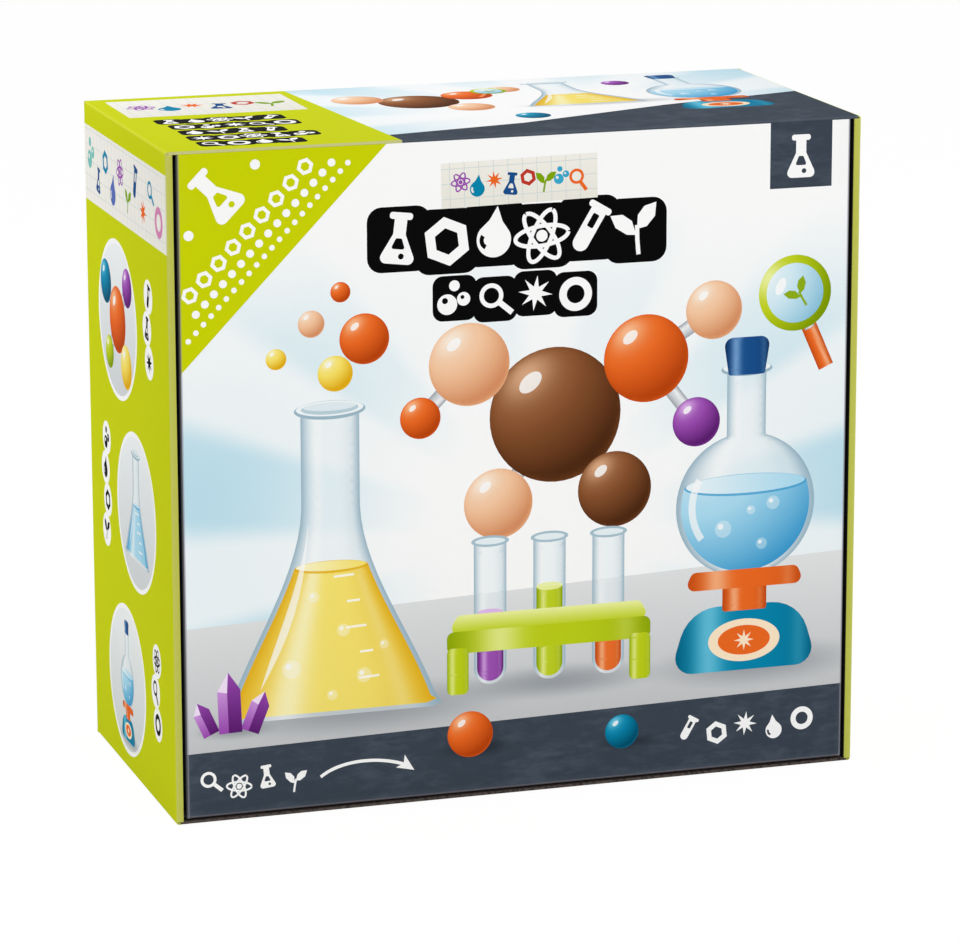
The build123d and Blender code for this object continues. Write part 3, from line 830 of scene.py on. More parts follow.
def crystals():
    """A cluster of purple crystals."""
    inks = []
    soft_shadow(inks, 2, 1, 22, 5)
    for u, wide, tall, lean in ((-9, 8, 17, 24), (9, 9, 20, -22), (0, 11, 29, 2)):
        top, ridge_foot, ridge_top = (0, tall), (-wide * 0.08, 0), (-wide * 0.08, tall * 0.66)
        left = [(-wide / 2, 0), (-wide / 2, tall * 0.7), top, ridge_top, ridge_foot]
        right = [ridge_foot, ridge_top, top, (wide / 2, tall * 0.7), (wide / 2, 0)]
        tip = [(-wide / 2, tall * 0.7), ridge_top, top]
        parts = [
            (left, fade((0, 0), (0, tall), purple[1], purple[2]), 2.0),
            (right, fade((0, 0), (0, tall), purple[0], purple[1]), 2.0),
            (tip, flat("#F3E0F8"), 0),
        ]
        print_group(inks, parts, u, 0, 1, lean)
    return inks


def tube_stand():
    """Three tubes in a lime holder."""
    inks = []
    soft_shadow(inks, 2, 0, 44, 7)
    for u, liquid, level in ((-22, purple, 26), (0, green, 34), (22, orange, 22)):
        print_group(inks, tall_tube(6, 52, level, liquid), u, 1)
    top = [(-38, 20), (38, 20), (34, 27), (-34, 27)]
    inks.append((rounded(top, 2.5), fade((0, 20), (0, 27), green[1], green[2]), 2.4))
    inks.append((rounded(rectangle(-38, 38, 13, 21), 2.5), round_body(0, 40, green), 3.0))
    for u in (-34, 34):
        inks.append((rounded(rectangle(u - 4, u + 4, -2, 15), 2.0), round_body(u, 4.5, green), 0.9))
    return inks


# Signs: small plain figures of laboratory things, about one unit high, as (outline, ink number) from the
# bottom up. Ink 0 is the figure and ink 1 the ground that shows through it.
def ring_sign(sides):
    """A ring with a few straight sides, or round with many."""
    turn = 90 if sides < 20 else 0
    return [(oval(0, 0, 0.5, turn=turn, steps=sides), 0), (oval(0, 0, 0.27, turn=turn, steps=sides), 1)]


hexagon_sign, circle_sign = ring_sign(6), ring_sign(40)
dot_sign = [(oval(0, 0, 0.5, steps=12), 0)]
flask_body = [(-0.42, -0.5), (0.42, -0.5), (0.13, 0.1), (0.13, 0.5), (-0.13, 0.5), (-0.13, 0.1)]
flask_sign = [
    (rounded(flask_body, [0.12, 0.12, 0.1, 0, 0, 0.1]), 0),
    (rounded(rectangle(-0.24, 0.24, 0.4, 0.54), 0.06), 0),
    (rounded([(-0.15, -0.2), (0.15, -0.2), (0.06, 0.02), (-0.06, 0.02)], 0.04), 1),
    (oval(0.08, -0.34, 0.06, steps=14), 1),
]
outer_gleam, inner_gleam = (oval(-0.1, -0.14, radius, start=150, end=250, steps=8) for radius in (0.2, 0.11))
drop_sign = [
    ([(0, 0.56), (-0.14, 0.26)] + oval(0, -0.12, 0.36, start=150, end=390, steps=26) + [(0.14, 0.26)], 0),
    (outer_gleam + inner_gleam[::-1], 1),
]
upright_tube = [
    (oval(0, -0.34, 0.17, start=180, end=360, steps=14) + [Vector((0.17, 0.46)), Vector((-0.17, 0.46))], 0),
    (rounded(rectangle(-0.26, 0.26, 0.4, 0.54), 0.06), 0),
    (rounded(rectangle(-0.07, 0.07, 0.02, 0.32), 0.03), 1),
]
tube_sign = [(moved(shape, 0, 0, 1, -24), number) for shape, number in upright_tube]
atom_sign = [(stroke(oval(0, 0, 0.56, 0.2, turn, 2, 358, 40), 0.085), 0) for turn in (0, 60, 120)]
atom_sign += [(oval(0, 0, 0.12, steps=20), 0)]
foam_sign = [
    (oval(-0.2, -0.2, 0.3, steps=28), 0),
    (oval(0.27, 0.0, 0.2, steps=24), 0),
    (oval(-0.05, 0.36, 0.16, steps=20), 0),
    (oval(-0.28, -0.1, 0.09, steps=14), 1),
    (oval(0.23, 0.05, 0.06, steps=12), 1),
]
lens_sign = [
    (stroke([(0.12, -0.12), (0.46, -0.48)], 0.17), 0),
    (oval(-0.1, 0.12, 0.36, steps=32), 0),
    (oval(-0.1, 0.12, 0.23, steps=28), 1),
]
spark_points = [(0.52 if i % 2 == 0 else 0.2, math.radians(22.5 * i)) for i in range(16)]
spark_sign = [([Vector((r * math.cos(a), r * math.sin(a))) for r, a in spark_points], 0)]
leaf_sign = [
    (stroke([(0, -0.5), (0.01, -0.2), (0.04, 0.1)], 0.09), 0),
    ([(0.0, -0.1), (-0.2, -0.06), (-0.42, 0.12), (-0.5, 0.38), (-0.24, 0.36), (-0.06, 0.2)], 0),
    ([(0.03, 0.02), (0.24, 0.04), (0.44, 0.22), (0.5, 0.5), (0.24, 0.46), (0.08, 0.3)], 0),
]


def stamp(inks, sign, u, v, size, turn, figure, ground):
    """Prints a sign in one colour on a ground."""
    for shape, number in sign:
        fill(inks, moved(shape, u, v, size, turn), (figure, ground)[number])


label_signs = (
    (atom_sign, purple[1]),
    (drop_sign, teal[1]),
    (spark_sign, orange[1]),
    (flask_sign, navy[1]),
    (hexagon_sign, "#C0392B"),
    (leaf_sign, "#7FA60A"),
    (foam_sign, "#3AA9CF"),
    (lens_sign, orange[1]),
)
paper_grid = "#CBD6D8"
grid_line = 0.22
grid_alpha = 0.8


def graph_label(inks, u, v, wide, tall, turn, signs):
    """A strip of squared notepaper with a row of small coloured signs."""
    paper = moved(rectangle(-wide / 2, wide / 2, -tall / 2, tall / 2), u, v, 1, turn)
    inks.append((paper, fade((u, v - tall), (u, v + tall), "#E9E7DC", "#F7F5EE"), 0))
    pitch = 5.0
    across = [-wide / 2 + pitch * (i - 0.4) for i in range(1, int(wide / pitch) + 1)]
    levels = [-tall / 2 + pitch * (i - 0.4) for i in range(1, int(tall / pitch) + 1)]
    lines = [((at, -tall / 2), (at, tall / 2)) for at in across]
    lines += [((-wide / 2, at), (wide / 2, at)) for at in levels]
    for ends in lines:
        fill(inks, moved(stroke(ends, grid_line), u, v, 1, turn), paper_grid, grid_alpha)
    for i, (sign, colour) in enumerate(signs):
        off_middle = (i - (len(signs) - 1) / 2) * wide * 0.86 / len(signs)
        at = moved([(off_middle, (-1) ** i * tall * 0.06)], u, v, 1, turn)[0]
        size = min(tall, wide / len(signs) * 1.7) * (0.62 if i % 2 else 0.5)
        stamp(inks, sign, at.x, at.y, size, turn + (-1) ** i * 8, colour, "#F1EFE6")


def plaque(inks, rows):
    """Rows of big white signs on black that follows them, each with its middle, size, pitch and signs."""
    spots = []
    for u, v, size, pitch, signs in rows:
        for i, sign in enumerate(signs):
            at, rise = u + (i - (len(signs) - 1) / 2) * pitch, v + (-1) ** i * size * 0.05
            spots.append((sign, at, rise, size, (-1) ** i * -7))
    for _, at, rise, size, _ in spots:
        reach = size * 0.66
        ground = rectangle(at - reach, at + reach, rise - reach, rise + reach)
        fill(inks, rounded(ground, size * 0.3), black)
    for spot in spots:
        stamp(inks, *spot, white, black)


def ray_ground(u0, v0, first, last):
    """White, with pale blue rays that open outwards and fade between two heights."""

    def paint(u, v):
        angle, out = math.atan2(v - v0, u - u0), math.hypot(u - u0, v - v0)
        ray = smooth(0.5 + 0.5 * math.sin(angle * 11 + 0.6), 0.25, 0.75)
        strength = (0.25 + 0.75 * ray) * smooth(out, 30, 120) * (1 - smooth(v, first, last))
        return Vector((1, 1, 1)).lerp(rgb("#BFE2F0"), clamp(strength)), 1.0, 0.0

    return paint


turn_length = crease * math.pi / 2
flat_half = lid_half - crease
foot_of_lid = lid_low + crease
outline = rectangle(-flat_half - turn_length, flat_half + turn_length, foot_of_lid - turn_length, lid_high)
lid_inks = [(outline, ray_ground(6, 92, 110, 205), 0)]
beyond = 130.0  # fields of colour run past the blank: so far to the sides, and to these heights
below, above = -5, 230
horizon = 72.0
table = [(-beyond, below), (beyond, below), (beyond, horizon + 4), (-beyond, horizon - 6)]
lid_inks.append((table, fade((0, 20), (0, horizon + 8), "#C3C5C8", "#E8EAEB"), 4.0))
fill(lid_inks, [(-beyond, below), (beyond, below), (beyond, 28.3), (-beyond, 23.6)], slate, chalk=1.0)
fill(lid_inks, [(-beyond, 137.6), (-40.2, above), (-beyond, above)], lime)

# The corner's signs run along its slanting edge: a flask, then a row of hexagons and two rows of dots. Each
# row has its sign, its first place, its length, the sign's size, its pitch and its height above the edge.
slant = 45.8
slant_way = Vector((math.cos(math.radians(slant)), math.sin(math.radians(slant))))
slant_rise = Vector((-slant_way.y, slant_way.x))
slant_start = Vector((-116, 152))
stamp(lid_inks, flask_sign, -103.4, 210.2, 17.5, slant, white, lime)
stamp(lid_inks, dot_sign, -112.6, 197.5, 3.4, 0, white, lime)
stamp(lid_inks, dot_sign, -90.2, 219.6, 3.4, 0, white, lime)
rows_of_signs = (
    (hexagon_sign, 14, 11, 5.8, 7.0, 15.6),
    (dot_sign, 9, 19, 2.7, 4.4, 9.8),
    (dot_sign, 6, 24, 1.9, 3.7, 5.6),
)
for sign, first, count, size, pitch, rise in rows_of_signs:
    for i in range(count):
        spot = slant_start + slant_way * (first + pitch * i) + slant_rise * rise
        if -113.5 < spot.x and spot.y < 221:
            stamp(lid_inks, sign, spot.x, spot.y, size, slant, white, lime)

plaque(lid_inks, (
    (-1, 191.5, 16.5, 16.4, (flask_sign, hexagon_sign, drop_sign, atom_sign, tube_sign, leaf_sign)),
    (-2, 171.0, 11.5, 14.0, (foam_sign, lens_sign, spark_sign, circle_sign)),
))
graph_label(lid_inks, -0.5, 209.5, 54, 15.0, 1.0, label_signs)
fill(lid_inks, rectangle(87.5, 109.6, 201.8, above), slate, chalk=1.0)
stamp(lid_inks, flask_sign, 98.5, 212.2, 14, 0, white, slate)

# Below: a ball-and-stick model, a flask with what rises from it, a burner stand, tubes and small things.
lid_atoms = (
    (0, 0, 23, brown),
    (-30, 19, 14, peach),
    (32, 17, 15, orange),
    (-20, -29, 12, peach),
    (21, -27, 13, brown),
    (56, 32, 10, peach),
    (50, -6, 8.5, purple),
    (-47, 2, 7, orange),
)
lid_bonds = ((0, 1), (0, 2), (0, 3), (0, 4), (2, 5), (2, 6), (1, 7))
print_group(lid_inks, molecule(lid_atoms, lid_bonds), 12, 130)
print_group(lid_inks, conical_flask(40, 104, 10, 51, yellow), -66, 33)
bubbles(lid_inks, ((-80, 50, 3.2), (-62, 62, 2.2), (-55, 46, 2.6)))
bubbles(lid_inks, ((-72, 74, 1.8), (-48, 56, 1.6), (-66, 40, 1.8)))
for u, v, radius, shades in (
    (-64, 149, 6, yellow),
    (-54, 160, 8.5, orange),
    (-72, 166, 4.5, peach),
    (-84, 155, 3.5, yellow),
    (-62, 176, 3.4, orange),
):
    ball(lid_inks, u, v, radius, shades)
print_group(lid_inks, burner_stand(), 80, 36)
print_group(lid_inks, tube_stand(), 10, 38, 0.95)
print_group(lid_inks, magnifier(), 97, 166, 0.62, 24)
print_group(lid_inks, crystals(), -101, 30, 0.72)
for i, sign in enumerate((tube_sign, hexagon_sign, spark_sign, drop_sign, circle_sign)):
    stamp(lid_inks, sign, 60 + 10.4 * i, 15.6 + (-1) ** i * 1.2, 8.2, (-1) ** i * -6, white, slate)
sweep_of_arrow = oval(-52, 4, 22, 12, -6, 150, 62, 20)
fill(lid_inks, stroke(sweep_of_arrow, 1.1), white)
barb = [(3.6, 0), (-2.4, 2.6), (-1.0, 0), (-2.4, -2.6)]
fill(lid_inks, moved(barb, *sweep_of_arrow[-1], 1, -36), white)
for i, sign in enumerate((lens_sign, atom_sign, flask_sign, leaf_sign)):
    stamp(lid_inks, sign, -108 + 9.6 * i, 12.6 + (-1) ** i * 1.2, 7.6, (-1) ** i * 6, white, slate)
soft_shadow(lid_inks, -15, 17, 17, 4, 0.5, "#1C2128")
ball(lid_inks, -18, 22, 8, orange)
soft_shadow(lid_inks, 38, 14, 13, 3, 0.5, "#1C2128")
ball(lid_inks, 36, 18, 6, teal)

# Painted light on the creases: a pale line where each crease begins is a painted highlight, and the
# print round the bend is darkened as painted shade.
painted_gleam_width = 0.4
for sign in (-1, 1):
    line = rectangle(flat_half, flat_half + painted_gleam_width, below, above)
    fill(lid_inks, [(sign * u, v) for u, v in line], "#8E8C98", 0.6)
    painted_bend_shade = rectangle(flat_half + painted_gleam_width, beyond, below, above)
    fill(lid_inks, [(sign * u, v) for u, v in painted_bend_shade], "#343136", 0.9)
# Along the foot's crease: a painted highlight, and painted shade round the bend below it.
fill(lid_inks, rectangle(-flat_half, flat_half, foot_of_lid - painted_gleam_width, foot_of_lid), "#6A6571", 0.6)
fill(lid_inks, rectangle(-flat_half, flat_half, below, foot_of_lid - painted_gleam_width), "#3A3134")

lid_place = standing((0, lid_front, 0), (1, 0, 0), (0, 0, 1))
lid_rolls = [(0, way, way * flat_half, quarter(crease)) for way in (-1, 1)]
lid_rolls.append((1, -1, foot_of_lid, quarter(crease)))
lid_panel = printed_sheet("lid_front", lid_inks, lid_rolls, lid_place, 2.4, rub_and_gleam_colour="#C9CCD0", rub_and_gleam=0.3)
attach(lid_panel, "lid")
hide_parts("lid_panel")

# ---- Lid ears and tuck flap ----
# Ears creased to the lid's sides and a flap creased to its foot, all printed with the foot's slate and white
# liner within; on the ears the dark slate is also painted shade for the cracks beside the walls. The ears go
# in beside the walls, and the flap above the bottom, where it stands up a little.
for side, sign in (("left", -1), ("right", 1)):
    low, high = (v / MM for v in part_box(f"{side}_lid_ear"))
    slope = 12.0
    outline = [
        (low.y, low.z),
        (high.y - slope, low.z + slope / 3),
        (high.y, low.z + slope * 4 / 3),
        (high.y, high.z - slope * 4 / 3),
        (high.y - slope, high.z - slope / 3),
        (low.y, high.z),
    ]
    shape = rounded([(sign * y, z) for y, z in outline], [0, 6, 6, 6, 6, 0])
    ear = printed_sheet(
        f"{side}_ear_of_lid",
        [(shape, flat(slate), 0)],
        [],
        standing((sign * lid_half, 0, 0), (0, sign, 0), (0, 0, 1)),
        8.0,
    )
    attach(ear, "lid")
    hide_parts(f"{side}_lid_ear")

low, high = (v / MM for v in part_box("tuck_flap"))
flap_tilt = math.radians(2.5)
flap_reach = 18.0
flap_start = 0.05
shape = rounded(rectangle(low.x, high.x, flap_start, flap_start + flap_reach), [0, 0, 9, 9])
flap = printed_sheet(
    "flap_of_lid",
    [(shape, flat(slate), 0)],
    [],
    standing((0, lid_front + board, lid_low), (-1, 0, 0), (0, math.cos(flap_tilt), math.sin(flap_tilt))),
    8.0,
)
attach(flap, "lid_flap")
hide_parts("tuck_flap")

# ---- Side walls ----
# Each wall is creased to the back panel and folded back on itself round the front edge, over the ears of
# the top and bottom panels. Lime, with a band of squared paper and three round pictures.
low, high = (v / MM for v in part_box("left_outer_wall"))
wall_front, wall_rear, carton_top = low.y, high.y, high.z
carton_side = -low.x
roll_radius = 0.6
fold_radius = board
roll_strip = high.x - low.x - 2 * roll_radius
fold_start = -wall_front - roll_radius
bend = roll_radius * math.pi / 2
end_bend = fold_radius * math.pi / 2
upper = carton_top - fold_radius
roll = [(roll_radius, bend), (0, roll_strip), (roll_radius, bend), (0, board - roll_radius)]
roll_end = fold_start + sum(length for radius, length in roll)


def wall_picture(inks, u, v, radius, group, size, drop):
    """A round picture with a white rim."""
    fill(inks, oval(u, v, radius, steps=64), white)
    ground = fade((u, v - radius), (u, v + radius), "#D5D9DC", "#F4F8FA")
    inks.append((oval(u, v, radius - 1.6, steps=64), ground, 4.0))
    print_group(inks, group, u, v - drop, size)


def black_signs(inks, u, v, signs):
    """A column of small black signs with white round them."""
    size, pitch, sway = 7.5, 11, 1.2
    for i, sign in enumerate(signs):
        at, rise = u + (-1) ** i * sway, v - i * pitch
        fill(inks, oval(at, rise, size * 0.78, steps=28), white)
        stamp(inks, sign, at, rise, size, (-1) ** i * 8, black, white)


def towards(way, shape):
    """A shape of a side wall, whose front edge is to the right (1) or to the left (-1)."""
    return [Vector((way * u, v)) for u, v in shape]


painted_crack_shade = "#2B2A2A"  # painted shade of the crack beside the lid
band_low, band_high = 191.5, 217.5
band_paper = "#F3F1EA"
band_signs = (
    (foam_sign, "#7CC3BC"),
    (flask_sign, navy[1]),
    (hexagon_sign, teal[1]),
    (drop_sign, "#5B6FB8"),
    (atom_sign, purple[1]),
    (leaf_sign, "#7FA60A"),
    (tube_sign, navy[1]),
    (spark_sign, orange[1]),
    (lens_sign, teal[1]),
    (circle_sign, "#D98AB8"),
)
wall_atoms = (
    (0, 0, 12, orange),
    (-17, 11, 8, teal),
    (15, 14, 7, purple),
    (12, -15, 8, yellow),
    (-13, -14, 6, green),
)
wall_bonds = ((0, 1), (0, 2), (0, 3), (0, 4))
for side, sign in (("left", -1), ("right", 1)):
    front_way = -sign  # the way, in u, to the front edge
    over = upper + end_bend
    ends = fold_start + bend
    outline = [
        (-wall_rear, fold_radius - end_bend),
        (ends, fold_radius - end_bend),
        (ends, fold_radius),
        (roll_end, fold_radius),
        (roll_end, upper),
        (ends, upper),
        (ends, over),
        (-wall_rear, over),
    ]
    inks = [(towards(front_way, outline), flat(lime), 0)]
    strip_start = fold_start + bend * 0.6
    painted_shade_start = roll_end - (board - roll_radius) - bend * 0.55
    fill(inks, towards(front_way, rectangle(strip_start, roll_end + 1, below, above)), "#C0C355")
    # Painted shade: the part of the roll that turns in beside the lid is printed near black.
    fill(inks, towards(front_way, rectangle(painted_shade_start, roll_end + 1, below, above)), painted_crack_shade)
    fill(inks, towards(front_way, rectangle(-beyond, strip_start, band_low, band_high)), band_paper)
    for i in range(21):
        u = front_way * (-54 + 5.3 * i)
        fill(inks, stroke([(u, band_low), (u, band_high)], grid_line), paper_grid, grid_alpha)
    for v in (195.0, 200.3, 205.6, 210.9, 216.2):
        fill(inks, stroke([(-56, v), (56, v)], grid_line), paper_grid, grid_alpha)
    for i, (figure, shade) in enumerate(band_signs):
        size = 8.4 if i % 3 else 10.5
        rise = 204.5 + (-1) ** i * 4.0
        stamp(inks, figure, (i - 4.5) * 10.6, rise, size, (-1) ** i * 9, shade, band_paper)
    wall_picture(inks, front_way * -13, 157, 27.5, molecule(wall_atoms, wall_bonds), 0.95, 0)
    wall_picture(inks, front_way * 9, 95, 27.5, conical_flask(24, 50, 6, 26, water)[1:], 0.74, 17)
    wall_picture(inks, front_way * -9, 32, 26.5, burner_stand(), 0.37, 22)
    black_signs(inks, front_way * 30, 173, (tube_sign, flask_sign, spark_sign))
    black_signs(inks, front_way * -34, 112, (foam_sign, drop_sign, hexagon_sign, leaf_sign))
    black_signs(inks, front_way * 33, 50, (atom_sign, lens_sign, circle_sign))
    rolls = [
        (0, front_way, front_way * fold_start, roll),
        (1, 1, upper, quarter(fold_radius)),
        (1, -1, fold_radius, quarter(fold_radius)),
    ]
    face = standing((sign * carton_side, 0, 0), (0, sign, 0), (0, 0, 1))
    wall = printed_sheet(f"{side}_wall", inks, rolls, face, 3.0, rub_and_gleam_colour="#E2E3A0", rim=0)
    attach(wall, "case")
    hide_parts(f"{side}_outer_wall")

# The inner half of each wall: bare white board behind a narrow lime bleed, which is printed black beside
# the lid's crease as painted shade of the crack, with tabs locked into the back.
tab_half = 15.0
tab_middles = (62.0, 163.0)
for side, sign in (("left", -1), ("right", 1)):
    low, high = (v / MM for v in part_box(f"{side}_inner_wall"))
    inner = [(low.y, low.z), (wall_rear, low.z)]
    for middle in tab_middles:
        start, end = middle - tab_half, middle + tab_half
        inner += [(wall_rear, start), (high.y, start), (high.y, end), (wall_rear, end)]
    inner += [(wall_rear, high.z), (low.y, high.z)]
    shape = [Vector((-sign * y, z)) for y, z in inner]
    if sign > 0:
        shape = shape[::-1]
    inks = [(shape, flat("#F1EFE8"), 0)]
    # Painted shade: the front of the bleed, in the crack beside the lid, is printed near black.
    for reach, shade in ((5.5, lime), (2.5, painted_crack_shade)):
        bleed = [(-sign * y, z) for y, z in rectangle(low.y, low.y + reach, 0, carton_top)]
        fill(inks, bleed, shade)
    visible = sign * min(abs(low.x), abs(high.x))
    wall = printed_sheet(
        f"{side}_wall_inside",
        inks,
        [],
        standing((visible, 0, 0), (0, -sign, 0), (0, 0, 1)),
        8.0,
    )
    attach(wall, "case")
    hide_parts(f"{side}_inner_wall")

# ---- Top, bottom and back ----
# The top repeats the signs of the front, half on lime and half on the rays. The back has the rays with a row
# of round pictures, and the bottom is plain.
low, high = (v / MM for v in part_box("top_panel"))
top_half = high.x
front_edge = low.y + crease
outline = rectangle(-top_half, top_half, front_edge - turn_length, high.y)
top_inks = [(outline, ray_ground(34, -10, 900, 901), 0)]
strip = [(-beyond, -70), (beyond, -70), (beyond, 4), (66, -14), (8, -36), (-beyond, -64)]
fill(top_inks, strip, slate, chalk=1.0)
fill(top_inks, [(-beyond, -70), (-40, -70), (-50, 70), (-beyond, 70)], lime)
pale_crease_edge = front_edge - 0.25  # pale along the front crease: worn ink and painted highlight
fill(top_inks, rectangle(-beyond, -40.6, -70, pale_crease_edge), "#CFCB9C", 0.8)
graph_label(top_inks, -83, 33, 62, 36, 0, label_signs[:6])
plaque(top_inks, (
    (-86, 2.5, 7.6, 8.6, (flask_sign, drop_sign, atom_sign, leaf_sign, tube_sign)),
    (-84, -9.5, 7.6, 8.6, (hexagon_sign, foam_sign, spark_sign, lens_sign, circle_sign)),
    (-88, -21.5, 7.6, 8.6, (drop_sign, leaf_sign, flask_sign, tube_sign)),
    (-84, -33.5, 7.6, 8.6, (spark_sign, hexagon_sign, atom_sign, flask_sign, foam_sign)),
    (-88, -45.5, 7.6, 8.6, (lens_sign, circle_sign, drop_sign, leaf_sign)),
))
top_atoms = (
    (0, 0, 14, brown),
    (-19, 10, 9, peach),
    (20, 9, 9, orange),
    (14, -16, 8, peach),
    (36, 18, 6, peach),
)
print_group(top_inks, molecule(top_atoms, ((0, 1), (0, 2), (0, 3), (2, 4))), -12, 18)
print_group(top_inks, conical_flask(24, 52, 7, 24, yellow), 42, -4, 0.95)
print_group(top_inks, burner_stand(), 86, -26, 0.66)
print_group(top_inks, magnifier(), 18, 34, 0.3, -30)
ball(top_inks, 66, 38, 5, purple)
ball(top_inks, 16, -22, 6, teal)
top_place = standing((0, 0, carton_top), (1, 0, 0), (0, 1, 0))
top_rolls = [(1, -1, front_edge, quarter(crease))]
top = printed_sheet("top", top_inks, top_rolls, top_place, 3.0, rub_and_gleam_colour="#A9ACB0", rub_and_gleam=0.2, rim=0)
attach(top, "case")
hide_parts("top_panel")

low, high = (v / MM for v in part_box("bottom_panel"))
shape = rectangle(-high.x, high.x, low.y, high.y)
painted_shade_depth = 4.5  # painted shade: the dark edge finish on its inner side along the front
painted_shade_strip = rectangle(-high.x, high.x, low.y, low.y + painted_shade_depth)
bottom_inks = [(shape, flat(lime), 0), (painted_shade_strip, flat(lime), 0)]
bottom = printed_sheet("bottom", bottom_inks, [], standing((0, 0, 0), (-1, 0, 0), (0, 1, 0)), 8.0)
painted_shade_slot = len(bottom.data.materials)
for finish in (print_board, cut_edge):
    bottom.data.materials.append(finish)
# Faces along the front get the dark edge finish inside, as painted shade under the flap.
for face in bottom.data.polygons:
    if face.center.y < (low.y + painted_shade_depth) * MM:
        face.material_index = painted_shade_slot
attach(bottom, "case")
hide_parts("bottom_panel")

low, high = (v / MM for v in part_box("back_panel"))
back_half = high.x - fold_radius
flat_low, flat_high = fold_radius, carton_top - fold_radius
shape = rectangle(-back_half - end_bend, back_half + end_bend, flat_low - end_bend, flat_high + end_bend)
back_inks = [(shape, ray_ground(0, 92, 150, 240), 0)]
fill(back_inks, rectangle(-beyond, beyond, below, 26), slate, chalk=1.0)
for frame_part in ((-beyond, -112, below, above), (112, beyond, below, above), (-beyond, beyond, 214, above)):
    fill(back_inks, rectangle(*frame_part), lime)
back_signs = (hexagon_sign, leaf_sign, flask_sign, drop_sign, spark_sign, atom_sign)
plaque(back_inks, ((0, 184, 15, 15.6, back_signs),))
graph_label(back_inks, 0, 203, 60, 14, -1.0, label_signs)
wall_picture(back_inks, -70, 118, 34, conical_flask(24, 50, 6, 26, yellow)[1:], 0.92, 21)
back_atoms = ((0, 0, 13, brown), (-18, 12, 8, peach), (17, 14, 9, orange), (13, -16, 7, purple))
wall_picture(back_inks, 0, 96, 34, molecule(back_atoms, ((0, 1), (0, 2), (0, 3))), 1.1, 0)
wall_picture(back_inks, 70, 118, 34, burner_stand(), 0.48, 28)
print_group(back_inks, tube_stand(), -70, 32, 0.8)
print_group(back_inks, crystals(), 66, 30, 1.2)
slot_inside, slot_outside = 117.2, 118.3
slot_half = 15.2
for middle in tab_middles:
    for sign in (-1, 1):
        left, right = sorted((sign * slot_inside, sign * slot_outside))
        back_inks.append((rectangle(left, right, middle - slot_half, middle + slot_half), None, 0))
rolls = [(0, way, way * back_half, quarter(fold_radius)) for way in (-1, 1)]
rolls += [(1, -1, flat_low, quarter(fold_radius)), (1, 1, flat_high, quarter(fold_radius))]
back_place = standing((0, high.y, 0), (-1, 0, 0), (0, 0, 1))
back_sheet = printed_sheet("back", back_inks, rolls, back_place, 3.0, rub_and_gleam_colour="#E2E3A0", rim=0)
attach(back_sheet, "case")
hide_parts("back_panel")

# ---- Card tray ----
# An open-fronted tray of plain duplex card, folded and glued, with half-round notches for the thumb.
tray_card = bare_paper(
    "uncoated duplex card",
    "#E8E6E0",
    "#F8F7F3",
    fibres=(3.0, 0.5),
    blotches=(22.0, 0.5),
    tones=(0.5, 1.0),
    rough=0.75,
    sheen=0.25,
    depth=0.04,
)


def dress(material, *names):
    """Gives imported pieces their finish."""
    for name in names:
        node[name].material_slots[0].material = material


dress(tray_card, "tray_floor", "tray_roof", "left_tray_side", "right_tray_side", "tray_back", "tray_shelf")
dress(tray_card, "scale_divider", "beaker_divider", "funnel_divider")
for corner in ("left_top", "right_top", "left_bottom", "right_bottom"):
    dress(white_liner, f"{corner}_corner_ear")

# ---- Scale ----
# A weighing scale of injection-moulded plastic: a teal body in two halves and a base, an orange pan on its
# stem, and a lime pointer that a rack and pinion turn in front of a printed dial.


def moulded(name, dark, light, rough, sheen):
    """Moulded plastic: a little uneven in tone, with the fine texture of its mould in the gloss."""
    material, tree, output = new_material(name)
    mist = noise_at(tree, 26.0, 2.0)
    grain = noise_at(tree, 0.5, 2.0)
    tint = add(tree, "ShaderNodeMix", two_shades(dark, light), {0: mist.outputs[0]})
    limits = {"To Min": rough - 0.05, "To Max": rough + 0.07}
    gloss = add(tree, "ShaderNodeMapRange", limits, {"Value": grain.outputs[0]})
    depth = 0.012 * MM
    bump = add(tree, "ShaderNodeBump", {"Strength": 1.0, "Distance": depth}, {"Height": grain.outputs[0]})
    shader = add(
        tree,
        "ShaderNodeBsdfPrincipled",
        {"Specular IOR Level": sheen, "IOR": 1.49},
        {"Base Color": tint.outputs[2], "Roughness": gloss.outputs[0], "Normal": bump.outputs[0]},
    )
    tree.links.new(shader.outputs[0], output.inputs["Surface"])
    return material


# Polypropylene in the bright colours of the set: even, satin, with soft broad gleams.
teal_plastic = moulded("teal moulded polypropylene", "#046A8E", "#0879A2", 0.3, 0.5)
orange_plastic = moulded("orange moulded polypropylene", "#E4541A", "#EE6322", 0.32, 0.5)
lime_plastic = moulded("lime moulded polypropylene", "#A9C912", "#B9D61E", 0.33, 0.5)
navy_plastic = moulded("navy soft vinyl", "#11346A", "#194583", 0.42, 0.4)
white_plastic = moulded("white moulded acetal", "#E6E7E6", "#F3F3F1", 0.35, 0.5)

# Zinc-plated steel: bright, with a faint blue-grey cloudiness that also dulls its gloss here and there.
zinc_steel, tree, output = new_material("zinc-plated steel")
cloud = noise_at(tree, 2.5, 4.0)
tint = add(tree, "ShaderNodeMix", two_shades("#A9AFB4", "#D5D8DA"), {0: cloud.outputs[0]})
gloss = add(tree, "ShaderNodeMapRange", {"To Min": 0.22, "To Max": 0.4}, {"Value": cloud.outputs[0]})
shader = add(
    tree,
    "ShaderNodeBsdfPrincipled",
    {"Metallic": 1.0},
    {"Base Color": tint.outputs[2], "Roughness": gloss.outputs[0]},
)
tree.links.new(shader.outputs[0], output.inputs["Surface"])

dress(teal_plastic, "scale_front_shell", "scale_back_shell", "scale_base")
dress(orange_plastic, "stem_rack")
dress(lime_plastic, "pointer", "tube_rack")
dress(white_plastic, "pinion", "dial_plate")
dress(zinc_steel, "pointer_axle", "scale_screws")


